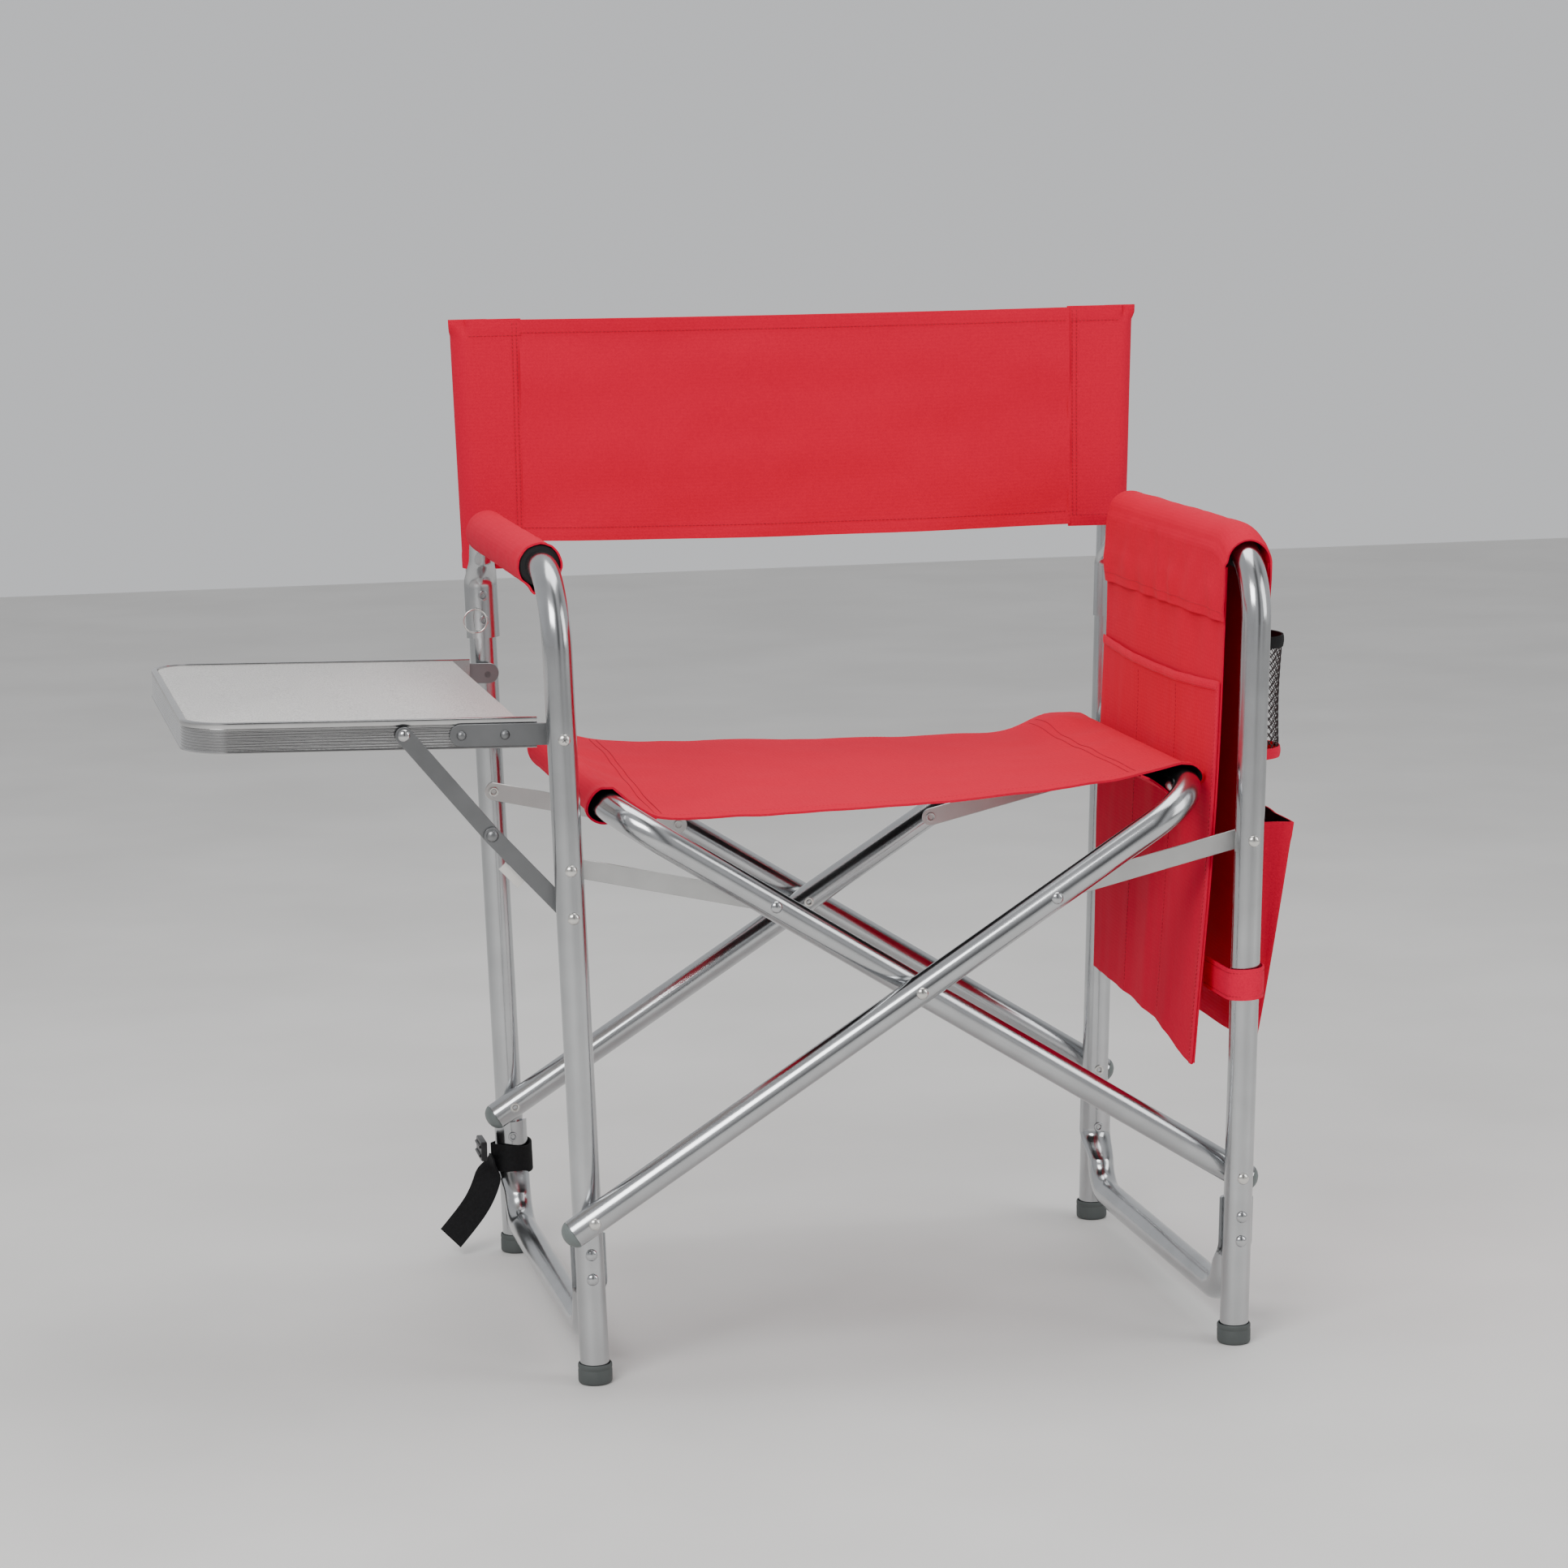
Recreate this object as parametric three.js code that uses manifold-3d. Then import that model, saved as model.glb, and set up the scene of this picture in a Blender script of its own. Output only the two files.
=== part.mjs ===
// Folding director chair with a side table and an arm organiser.
// Millimetres, +Z up. The sitter faces -Y. Left and right in the names are as seen from the front,
// so the left side, which carries the table, is at -X.
// The scissor frame, its straps and the table fold about axes along Y.
import * as THREE from 'three';
import { mergeVertices } from 'three/addons/utils/BufferGeometryUtils.js';
import Module from 'manifold-3d';

const wasm = await Module();
wasm.setup();

// ---------------------------------------------------------------- driving dimensions
const FRAME_WIDTH = 540;        // between the leg axes at the floor
const FRAME_DEPTH = 420.6;      // front leg axis to rear post axis
const SPLAY = 0.03;             // outward lean of each side frame, radians
const ARM_HEIGHT = 668;         // arm tube axis
const POST_TOP = 846;           // top of the back posts
const TUBE_R = 12;
const TUBE_WALL = 1.5;
const TUBE_SIDES = 14;
const BORE_SIDES = 7;
const BEND_STEPS = 5;           // stations round a right-angle bend
const GAP = 0.3;                // between pieces that touch
const BAR_T = 2;                // flat bars: straps, stay links, brackets
const STRAP_WIDTH = 16;
const STAY_WIDTH = 14;
const BRACKET_WIDTH = 18;

const ARM_BEND = 60;
const ARM_REAR_BEND = 40;
const SADDLE_WALL = 3;
const SADDLE_SPAN = 75 * Math.PI / 180;
const SADDLE_OVERLAP = 14;      // how far a saddle runs over the tube that ends in it
const ARM_SADDLE = [568, 640];
const ARM_RIVETS = [615.6, 584];

const STRETCHER_HEIGHT = 35;
const STRETCHER_BEND = 32;
const STRETCHER_SADDLE = [58, 124];
const STRETCHER_RIVETS = [110.6, 89.9];

const FOOT_WALL = 1.6;
const FOOT_FLOOR = 3.5;
const FOOT_HEIGHT = 17;

const PIVOT_HEIGHT = 143.5;     // lower pivots of the cross tubes
const CROSS_HEIGHT = 317.5;     // where the cross tubes meet at mid width
const CROSS_TAIL = 18.5;        // cross tube beyond its lower pivot
const RAIL_ROOM = 38.08;        // leg axis to seat rail axis, beside the top of the organiser
const RAIL_BEND = 50;
const CAP_DOME = 9;
const CAP_PLUG = 8;
const STRAP_HEIGHT = 429;       // strap pivots on the legs
const STRAP_REACH = 460.6;      // strap pivot on the cross tube, from its lower pivot

const PIN_R = 2.9;
const HEAD_R = 5;
const HEAD_H = 2.4;
const COLLAR_R = 4.4;
const COLLAR_H = 1.2;
const COLLAR_SINK = 0.55;       // rivet collars bed into the saddles
const PIN_SIDES = 10;
const HOLE_SIDES = 7;

const TABLE_HEIGHT = 535.6;     // table pivot
const TABLE_RISE = 0.024;       // the table's outer end stands a little high, radians
const TABLE_REACH = 300;        // pivot to the outer end
const TABLE_END = 17;           // pivot to the rim's inner ends
const TABLE_CORNER = 36;
const RIM_HEIGHT = 25;
const RIM_T = 5;
const RIM_LIFT = 2.4;           // rim centre line above the pivot
const PANEL_T = 6;
const PANEL_DROP = 1.5;         // panel top below the rim's top edge
const PANEL_EDGE = 32;          // pivot to the panel's inner edge
const BRACKET_REACH = 88;
const BRACKET_TAIL = 10;
const BRACKET_RIVETS = [43.3, 78.5];
const STAY_DROP = 145.6;        // stay pivot on the front leg, below the table's
const STAY_LINK = 90;           // lower link, pivot to pivot
const STAY_ANGLE = 132.2 * Math.PI / 180;
const STAY_ON_RIM = 125;        // table pivot to stay pivot
const LOCK_TAB = [22, 2, 8];
const LOCK_TAB_AT = 0.62;       // along the lower link

const FOAM_WALL = 4.4;
const COVER_WALL = 1;
const PAD_START = 67.5;
const SLEEVE_WALL = 1.4;
const CLOTH_T = 2;
const SEAT_SAG = 16;
const BACK_BOTTOM = 652;
const BACK_TOP = 850;
const BACK_SLEEVE_BOTTOM = 632;
const BACK_BULGE = 10;

const BAG_START = 40;           // organiser's front edge, behind the front leg axis
const BAG_LENGTH = 320;
const BAG_BOTTOM = 250;
const BAG_OFFSET = 15;          // inner bag's outer face from the frame plane
const BAG_SLANT = 0.022;        // the inner bag hangs away from the frame, per unit of drop
const INNER_POCKET_TOP = 556;
const INNER_POCKET_DEPTH = 3.6;
const LOWER_POCKET_TOP = 438;
const LOWER_POCKET_DEPTH = 36;
const CUP_TOP = 588;
const CUP_BOTTOM = 486;
const CUP_RADIUS = 40;
const CUP_AT = 68;              // cup pocket centre from the front edge of the organiser
const LOOP_HEIGHTS = [298, 320];

const WEB_WIDTH = 25;
const WEB_T = 1.6;
const WEB_HEIGHT = 90;
const BUCKLE = [5, 32, 18];
const RING_R = 10.5;
const RING_WIRE = 0.8;

// ---------------------------------------------------------------- derived places
const HALF = FRAME_WIDTH / 2;
const STAY_HEIGHT = TABLE_HEIGHT - STAY_DROP;
const STAGGER = 2 * TUBE_R + BAR_T + 1;       // the right frame stands this far forward
const PIVOT_X = HALF + PIVOT_HEIGHT * Math.tan(SPLAY);
const CROSS_ANGLE = Math.atan2(CROSS_HEIGHT - PIVOT_HEIGHT, PIVOT_X);
const CROSS_ARM = Math.hypot(CROSS_HEIGHT - PIVOT_HEIGHT, PIVOT_X);
const LEAN = Math.tan(SPLAY) + BAG_SLANT;     // how the organiser's inner face runs, per unit of height
const LEVEL_RAIL = 2 * CROSS_HEIGHT - PIVOT_HEIGHT;   // rail height straight above the lower pivots
const INSET_AT_LEVEL = PIVOT_X - HALF + RAIL_ROOM + BAG_SLANT * ARM_HEIGHT - LEAN * LEVEL_RAIL;
const RAIL_INSET = INSET_AT_LEVEL / (1 - LEAN * Math.tan(CROSS_ANGLE));   // rail in from the lower pivots
const RAIL_REACH = 2 * CROSS_ARM - RAIL_INSET / Math.cos(CROSS_ANGLE);
const HOLE_R = (PIN_R + GAP) / Math.cos(Math.PI / HOLE_SIDES);
const FACE = TUBE_R + GAP;                    // a bar's near face from a tube's axis
const HUG = FACE / Math.cos(Math.PI / TUBE_SIDES);   // faceted bore that clears the faceted tube
const RIDE = 2 * TUBE_R + 2 * GAP;            // axis of a tube that ends in a saddle, from the post
const LAYER_2 = FACE + BAR_T + GAP;
const BRACKET_FACE = LAYER_2 + BAR_T + GAP;
const RIM_FACE = BRACKET_FACE + BAR_T + GAP;
const RIM_DEPTH = FRAME_DEPTH - 2 * RIM_FACE;
const FOAM_R = HUG + FOAM_WALL;
const COVER_R = FOAM_R + GAP + COVER_WALL;
const SLEEVE_R = HUG + SLEEVE_WALL;
const LOOP_R = FACE + SADDLE_WALL + COLLAR_H + 3 * GAP;   // webbing round a saddle and its collars
const PAD_END = FRAME_DEPTH - RIDE - ARM_REAR_BEND - 2;

const legX = (height) => HALF + height * Math.tan(SPLAY);
const along = (height) => height / Math.cos(SPLAY);

// ---------------------------------------------------------------- materials
function material(color, roughness, metalness = 0) {
  return new THREE.MeshStandardMaterial({ color, roughness, metalness });
}

const MATERIAL = {
  aluminium: material(0xc9cbcd, 0.28, 1),
  bar: material(0x8d9092, 0.45, 1),
  steel: material(0xb5b2ac, 0.3, 1),
  rubber: material(0x4b5350, 0.75),
  cap: material(0x8f9a93, 0.5),
  cloth: material(0xd5152b, 0.85),
  lining: material(0x17171a, 0.9),
  foam: material(0x1d1d1f, 0.95),
  mesh: material(0x2a2a2a, 0.8),
  panel: material(0xc8c6c2, 0.5),
  webbing: material(0x101012, 0.8),
};

// ---------------------------------------------------------------- solids
function toSolid(geometry) {
  const bare = geometry.index ? geometry.toNonIndexed() : geometry.clone();
  bare.deleteAttribute('normal');
  bare.deleteAttribute('uv');
  const merged = mergeVertices(bare, 1e-4);
  const index = merged.index.array;
  const triangles = [];
  for (let i = 0; i < index.length; i += 3) {
    const [a, b, c] = [index[i], index[i + 1], index[i + 2]];
    if (a !== b && b !== c && c !== a) triangles.push(a, b, c);
  }
  const vertProperties = new Float32Array(merged.attributes.position.array);
  const triVerts = new Uint32Array(triangles);
  return new wasm.Manifold(new wasm.Mesh({ numProp: 3, vertProperties, triVerts }));
}

function toGeometry(solid) {
  const mesh = solid.getMesh();
  const geometry = new THREE.BufferGeometry();
  geometry.setAttribute('position', new THREE.BufferAttribute(mesh.vertProperties, 3));
  geometry.setIndex(new THREE.BufferAttribute(mesh.triVerts, 1));
  geometry.computeVertexNormals();
  return geometry;
}

function join(first, ...others) {
  return others.reduce((sum, other) => sum.add(toSolid(other)), toSolid(first));
}

function cut(solid, ...tools) {
  return tools.reduce((rest, tool) => rest.subtract(toSolid(tool)), solid);
}

// A path whose stations are given outright, so that bends get steps and straights get none.
class StationPath extends THREE.Curve {
  constructor(stations) {
    super();
    this.stations = stations;
  }

  get steps() {
    return this.stations.length - 1;
  }

  station(u) {
    return this.stations[Math.round(u * this.steps)];
  }

  getPoint(t, target = new THREE.Vector3()) {
    return target.copy(this.station(t).point);
  }

  getPointAt(u, target) {
    return this.getPoint(u, target);
  }

  getTangent(t, target = new THREE.Vector3()) {
    return target.copy(this.station(t).tangent);
  }

  getTangentAt(u, target) {
    return this.getTangent(u, target);
  }
}

// Straight runs between corners, each inner corner rounded to its radius.
function bentPath(corners, radii, steps = BEND_STEPS) {
  const points = corners.map((c) => new THREE.Vector3(...c));
  const direction = (i) => points[i + 1].clone().sub(points[i]).normalize();
  const stations = [{ point: points[0], tangent: direction(0) }];
  for (let i = 1; i < points.length - 1; i += 1) {
    const before = direction(i - 1);
    const after = direction(i);
    const turn = before.angleTo(after);
    const radius = radii[i - 1];
    const start = points[i].clone().addScaledVector(before, -radius * Math.tan(turn / 2));
    const side = after.clone().addScaledVector(before, -after.dot(before)).normalize();
    const centre = start.clone().addScaledVector(side, radius);
    for (let k = 0; k <= steps; k += 1) {
      const a = turn * k / steps;
      const point = centre.clone().addScaledVector(before, radius * Math.sin(a));
      point.addScaledVector(side, -radius * Math.cos(a));
      const tangent = before.clone().multiplyScalar(Math.cos(a)).addScaledVector(side, Math.sin(a));
      stations.push({ point, tangent });
    }
  }
  const last = points.length - 1;
  stations.push({ point: points[last], tangent: direction(last - 1) });
  return new StationPath(stations);
}

function polygon(radius, sides, Kind = THREE.Shape) {
  const corners = [];
  for (let i = 0; i < sides; i += 1) {
    const a = 2 * Math.PI * (i + 0.5) / sides;
    corners.push(new THREE.Vector2(radius * Math.cos(a), radius * Math.sin(a)));
  }
  return new Kind(corners);
}

function sweep(shape, path) {
  return new THREE.ExtrudeGeometry(shape, {
    steps: path.steps,
    extrudePath: path,
    bevelEnabled: false,
    curveSegments: 1,
  });
}

function tube(path) {
  const shape = polygon(TUBE_R, TUBE_SIDES);
  shape.holes.push(polygon(TUBE_R - TUBE_WALL, BORE_SIDES, THREE.Path));
  return sweep(shape, path);
}

// A flat outline in x and z, thickened along +y from the given face.
function plateXZ(outline, face, thickness) {
  const shape = new THREE.Shape(outline.map(([x, z]) => new THREE.Vector2(x, z)));
  const geometry = new THREE.ExtrudeGeometry(shape, { depth: thickness, bevelEnabled: false });
  geometry.rotateX(Math.PI / 2);
  geometry.translate(0, face + thickness, 0);
  return geometry;
}

// A flat outline in x and y, thickened along +z from the given height.
function plateXY(outline, height, thickness) {
  const shape = new THREE.Shape(outline.map(([x, y]) => new THREE.Vector2(x, y)));
  const geometry = new THREE.ExtrudeGeometry(shape, { depth: thickness, bevelEnabled: false });
  geometry.translate(0, 0, height);
  return geometry;
}

function box(low, high) {
  const geometry = new THREE.BoxGeometry(high[0] - low[0], high[1] - low[1], high[2] - low[2]);
  geometry.translate((low[0] + high[0]) / 2, (low[1] + high[1]) / 2, (low[2] + high[2]) / 2);
  return geometry;
}

function arcPoints(cx, cy, radius, from, to, steps) {
  const points = [];
  for (let i = 0; i <= steps; i += 1) {
    const a = from + (to - from) * i / steps;
    points.push([cx + radius * Math.cos(a), cy + radius * Math.sin(a)]);
  }
  return points;
}

// A straight bar between two eyes on the local X axis.
function linkOutline(length, width) {
  const r = width / 2;
  return [
    ...arcPoints(0, 0, r, Math.PI / 2, 3 * Math.PI / 2, 6),
    ...arcPoints(length, 0, r, -Math.PI / 2, Math.PI / 2, 6),
  ];
}

function holeAlongY(x, z, from, to) {
  const hole = new THREE.CylinderGeometry(HOLE_R, HOLE_R, to - from, HOLE_SIDES);
  hole.translate(x, (from + to) / 2, z);
  return hole;
}

function lathe(profile, sides) {
  return new THREE.LatheGeometry(profile.map(([r, y]) => new THREE.Vector2(r, y)), sides);
}

// A domed rivet along Y: head at headY, shank to endY, an optional collar beyond it.
function rivet(headY, endY, withCollar = true) {
  const s = Math.sign(endY - headY);
  const dome = [];
  for (let i = 0; i <= 2; i += 1) {
    const a = Math.PI / 2 * i / 2;
    dome.push([HEAD_R * Math.sin(a), headY - s * HEAD_H * Math.cos(a)]);
  }
  dome[0][0] = 0;
  const shank = [[PIN_R, headY], [PIN_R, endY]];
  const collar = [[COLLAR_R, endY], [COLLAR_R, endY + s * COLLAR_H], [0, endY + s * COLLAR_H]];
  const tail = withCollar ? collar : [[0, endY]];
  const profile = [...dome, ...shank, ...tail];
  return lathe(s > 0 ? profile : profile.reverse(), PIN_SIDES);
}

function ringAlongY(inner, outer, from, to, sides = TUBE_SIDES) {
  const profile = [[inner, from], [outer, from], [outer, to], [inner, to], [inner, from]];
  return lathe(profile, sides);
}

// ---------------------------------------------------------------- scene assembly
const chair = new THREE.Group();

function add(parent, name, shape, finish, move = [0, 0, 0]) {
  const solid = shape.isBufferGeometry ? toSolid(shape) : shape;
  const mesh = new THREE.Mesh(toGeometry(solid), finish);
  mesh.name = name;
  mesh.position.set(...move);
  parent.add(mesh);
  return mesh;
}

function groupAt(parent, x, y, z, turn = 0) {
  const group = new THREE.Group();
  group.position.set(x, y, z);
  group.rotation.y = turn;
  parent.add(group);
  return group;
}

// Local X of the group points at the given angle, counter-clockwise seen from the front.
function linkGroup(x, z, angle) {
  return groupAt(chair, x, 0, z, -angle);
}

// ---------------------------------------------------------------- side frames
// A half shell that hugs the post at y = postY, on the side that faces the frame's middle.
function saddle(postY, facing, [low, high]) {
  const inner = TUBE_R + GAP;
  const outer = inner + SADDLE_WALL;
  const mid = facing * Math.PI / 2;
  const outline = [
    ...arcPoints(0, postY, outer, mid - SADDLE_SPAN, mid + SADDLE_SPAN, 6),
    ...arcPoints(0, postY, inner, mid + SADDLE_SPAN, mid - SADDLE_SPAN, 6),
  ];
  return plateXY(outline, low, high - low);
}

// Rivets through a post into a saddle, heads on the post's outer face.
function saddleRivets(postY, facing, heights) {
  const head = postY - facing * FACE;
  const end = postY + facing * (FACE + SADDLE_WALL - COLLAR_SINK);
  return heights.map((h) => rivet(head, end).translate(0, 0, along(h)));
}

function postHoles(postY, heights) {
  return heights.map((h) => holeAlongY(0, along(h), postY - TUBE_R - 2, postY + TUBE_R + 2));
}

function legAndArm(holes) {
  const rearAxis = FRAME_DEPTH - RIDE;
  const path = bentPath(
    [
      [0, 0, along(FOOT_FLOOR) + 2 * GAP],
      [0, 0, ARM_HEIGHT],
      [0, rearAxis, ARM_HEIGHT],
      [0, rearAxis, ARM_SADDLE[1] - SADDLE_OVERLAP],
    ],
    [ARM_BEND, ARM_REAR_BEND],
  );
  const body = join(tube(path));
  const drilled = cut(body, ...postHoles(0, holes));
  const rivets = saddleRivets(FRAME_DEPTH, -1, ARM_RIVETS);
  const fittings = [saddle(FRAME_DEPTH, -1, ARM_SADDLE), ...rivets];
  return fittings.reduce((sum, piece) => sum.add(toSolid(piece)), drilled);
}

function rearPost(holes) {
  const path = bentPath([[0, 0, along(FOOT_FLOOR) + 2 * GAP], [0, 0, POST_TOP]], []);
  return cut(join(tube(path)), ...postHoles(0, holes));
}

function stretcher() {
  const end = STRETCHER_SADDLE[0] + SADDLE_OVERLAP;
  const rear = FRAME_DEPTH - RIDE;
  const path = bentPath(
    [[0, RIDE, end], [0, RIDE, STRETCHER_HEIGHT], [0, rear, STRETCHER_HEIGHT], [0, rear, end]],
    [STRETCHER_BEND, STRETCHER_BEND],
  );
  let body = join(tube(path));
  for (const [y, facing] of [[0, 1], [FRAME_DEPTH, -1]]) {
    body = body.add(toSolid(saddle(y, facing, STRETCHER_SADDLE)));
    for (const pin of saddleRivets(y, facing, STRETCHER_RIVETS)) body = body.add(toSolid(pin));
  }
  return body;
}

// An upright rubber cup; the leaning tube stands in it with a little room.
function foot() {
  const bore = TUBE_R + GAP + FOOT_HEIGHT * Math.tan(SPLAY) / 2;
  const outer = bore + FOOT_WALL;
  const profile = [
    [0, 0], [outer - 1, 0], [outer, 1], [outer, FOOT_HEIGHT], [bore, FOOT_HEIGHT], [bore, FOOT_FLOOR],
    [0, FOOT_FLOOR],
  ];
  return lathe(profile, 16).rotateX(Math.PI / 2);
}

function addSideFrame(side, sideName, legHoles) {
  const group = groupAt(chair, side * HALF, side > 0 ? -STAGGER : 0, 0, side * SPLAY);
  const common = [PIVOT_HEIGHT, STRAP_HEIGHT, ...STRETCHER_RIVETS];
  add(group, `leg_arm_${sideName}`, legAndArm([...common, ...legHoles]), MATERIAL.aluminium);
  const postBody = rearPost([...common, ...ARM_RIVETS, ...(side < 0 ? [TABLE_HEIGHT] : [])]);
  add(group, `rear_post_${sideName}`, postBody, MATERIAL.aluminium, [0, FRAME_DEPTH, 0]);
  add(group, `stretcher_${sideName}`, stretcher(), MATERIAL.aluminium);
  for (const [place, y] of [['front', 0], ['rear', FRAME_DEPTH]]) {
    const x = side * legX(FOOT_HEIGHT / 2);
    add(chair, `foot_${place}_${sideName}`, foot(), MATERIAL.rubber, [x, group.position.y + y, 0]);
  }
  return group;
}

const leftFrame = addSideFrame(-1, 'left', [TABLE_HEIGHT, STAY_HEIGHT]);
const rightFrame = addSideFrame(1, 'right', []);

// ---------------------------------------------------------------- cross tubes
function crossTube() {
  const path = bentPath(
    [
      [-CROSS_TAIL, 0, 0],
      [RAIL_REACH, 0, 0],
      [RAIL_REACH, FRAME_DEPTH, 0],
      [-CROSS_TAIL, FRAME_DEPTH, 0],
    ],
    [RAIL_BEND, RAIL_BEND],
  );
  const holes = [];
  for (const x of [0, CROSS_ARM]) {
    for (const y of [0, FRAME_DEPTH]) holes.push(holeAlongY(x, 0, y - TUBE_R - 2, y + TUBE_R + 2));
  }
  const studs = [
    rivet(-TUBE_R + 0.3, TUBE_R - 0.5, false).translate(STRAP_REACH, 0, 0),
    rivet(FRAME_DEPTH + TUBE_R - 0.3, FRAME_DEPTH - TUBE_R + 0.5, false).translate(STRAP_REACH, 0, 0),
  ];
  return studs.reduce((sum, stud) => sum.add(toSolid(stud)), cut(join(tube(path)), ...holes));
}

function endCap() {
  const plug = (TUBE_R - TUBE_WALL) * Math.cos(Math.PI / BORE_SIDES) - GAP;
  const dome = [];
  for (let i = 0; i <= 3; i += 1) {
    const a = Math.PI / 2 * i / 3;
    dome.push([TUBE_R * Math.sin(a), CAP_DOME * Math.cos(a)]);
  }
  dome[0][0] = 0;
  const profile = [...dome, [plug, 0], [plug, -CAP_PLUG], [0, -CAP_PLUG]];
  return lathe(profile.reverse(), TUBE_SIDES).rotateZ(Math.PI / 2);
}

function addCross(side, letter) {
  const y = side > 0 ? 0 : -STAGGER;
  const turn = side > 0 ? -(Math.PI - CROSS_ANGLE) : -CROSS_ANGLE;
  const group = groupAt(chair, side * PIVOT_X, y, PIVOT_HEIGHT, turn);
  add(group, `cross_tube_${letter}`, crossTube(), MATERIAL.aluminium);
  for (const [place, at] of [['front', 0], ['rear', FRAME_DEPTH]]) {
    add(group, `end_cap_${letter}_${place}`, endCap(), MATERIAL.cap, [-CROSS_TAIL - GAP, at, 0]);
  }
  return group;
}

const crossA = addCross(-1, 'a');
const crossB = addCross(1, 'b');

// Through-pins where two tubes stand side by side: heads outside, collars inside.
function addPins() {
  const near = -STAGGER - FACE;
  const far = FACE;
  const places = [
    ['pivot_left', -PIVOT_X, PIVOT_HEIGHT],
    ['pivot_right', PIVOT_X, PIVOT_HEIGHT],
    ['pivot_cross', 0, CROSS_HEIGHT],
  ];
  for (const [name, x, z] of places) {
    add(chair, `${name}_front`, rivet(near, far), MATERIAL.steel, [x, 0, z]);
    add(chair, `${name}_rear`, rivet(far, near), MATERIAL.steel, [x, FRAME_DEPTH, z]);
  }
}

addPins();

// ---------------------------------------------------------------- strap bars
// Each strap turns on a pin in the leg; its far eye meets a stud in the cross tube.
function strapBar(length, face, collarSide) {
  const plate = plateXZ(linkOutline(length, STRAP_WIDTH), face, BAR_T);
  const collarFace = collarSide > 0 ? face + BAR_T : face - COLLAR_H;
  const collar = ringAlongY(PIN_R, COLLAR_R, collarFace, collarFace + COLLAR_H, PIN_SIDES);
  collar.translate(length, 0, 0);
  const through = [0, length].map((x) => holeAlongY(x, 0, face - 4, face + BAR_T + 4));
  return cut(join(plate, collar), ...through);
}

function addStraps(side, sideName) {
  const frameY = side > 0 ? -STAGGER : 0;
  const x = side * legX(STRAP_HEIGHT);
  const attachX = side * (STRAP_REACH * Math.cos(CROSS_ANGLE) - PIVOT_X);
  const attachZ = PIVOT_HEIGHT + STRAP_REACH * Math.sin(CROSS_ANGLE);
  const angle = Math.atan2(attachZ - STRAP_HEIGHT, attachX - x);
  const length = Math.hypot(attachZ - STRAP_HEIGHT, attachX - x);
  const group = linkGroup(x, STRAP_HEIGHT, angle);
  const frontFace = frameY + FACE;
  const rearFace = frameY + FRAME_DEPTH - FACE - BAR_T;
  add(group, `strap_front_${sideName}`, strapBar(length, frontFace, 1), MATERIAL.bar);
  add(group, `strap_rear_${sideName}`, strapBar(length, rearFace, -1), MATERIAL.bar);
  const frontPin = rivet(frameY - FACE, frontFace + BAR_T + GAP);
  const rearPin = rivet(frameY + FRAME_DEPTH + FACE, rearFace - GAP);
  add(group, `strap_pin_front_${sideName}`, frontPin, MATERIAL.steel);
  add(group, `strap_pin_rear_${sideName}`, rearPin, MATERIAL.steel);
}

addStraps(-1, 'left');
addStraps(1, 'right');

// ---------------------------------------------------------------- side table
// Table group: local +X runs outwards from the pivot, local Z is up.
const tableX = -legX(TABLE_HEIGHT);
const tableTurn = Math.PI - TABLE_RISE;

function fromTable(reach, lift) {
  return [
    tableX + reach * Math.cos(tableTurn) + lift * Math.sin(TABLE_RISE),
    TABLE_HEIGHT + reach * Math.sin(tableTurn) + lift * Math.cos(TABLE_RISE),
  ];
}

// Outline of the rim or the panel seen from above, with its two outer corners rounded.
function tableOutline(inset, innerX) {
  const near = RIM_FACE + inset;
  const far = RIM_FACE + RIM_DEPTH - inset;
  const end = -(TABLE_REACH - inset);
  const r = TABLE_CORNER - inset;
  return [
    [-innerX, near],
    [-innerX, far],
    ...arcPoints(end + r, far - r, r, Math.PI / 2, Math.PI, 6),
    ...arcPoints(end + r, near + r, r, Math.PI, 3 * Math.PI / 2, 6),
  ];
}

function tableRim() {
  const low = RIM_LIFT - RIM_HEIGHT / 2;
  const outer = plateXY(tableOutline(0, TABLE_END), low, RIM_HEIGHT);
  const hollow = plateXY(tableOutline(RIM_T, -1), low - 1, RIM_HEIGHT + 2);
  const stayPin = rivet(LAYER_2 - GAP, RIM_FACE + 1, false);
  stayPin.translate(-STAY_ON_RIM, 0, RIM_LIFT);
  return cut(join(outer), hollow).add(toSolid(stayPin));
}

function tablePanel() {
  const top = RIM_LIFT + RIM_HEIGHT / 2 - PANEL_DROP;
  return plateXY(tableOutline(RIM_T + GAP, PANEL_EDGE), top - PANEL_T, PANEL_T);
}

// Flat bracket with its two rivets, outside the rim's arm; facing is +1 at the front.
function tableBracket(facing) {
  const front = facing > 0;
  const face = front ? BRACKET_FACE : FRAME_DEPTH - BRACKET_FACE - BAR_T;
  const span = BRACKET_REACH - BRACKET_WIDTH / 2 + BRACKET_TAIL - BRACKET_WIDTH / 2;
  const plate = plateXZ(linkOutline(span, BRACKET_WIDTH), face, BAR_T);
  plate.translate(-(BRACKET_REACH - BRACKET_WIDTH / 2), 0, RIM_LIFT / 2);
  let body = join(plate);
  const outside = front ? face : face + BAR_T;
  for (const reach of BRACKET_RIVETS) {
    const head = rivet(outside, outside + facing * BAR_T / 2, false);
    head.scale(0.8, 1, 0.8);
    head.translate(-reach, 0, RIM_LIFT / 2);
    body = body.add(toSolid(head));
  }
  return cut(body, holeAlongY(0, 0, face - 4, face + BAR_T + 4));
}

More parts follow.
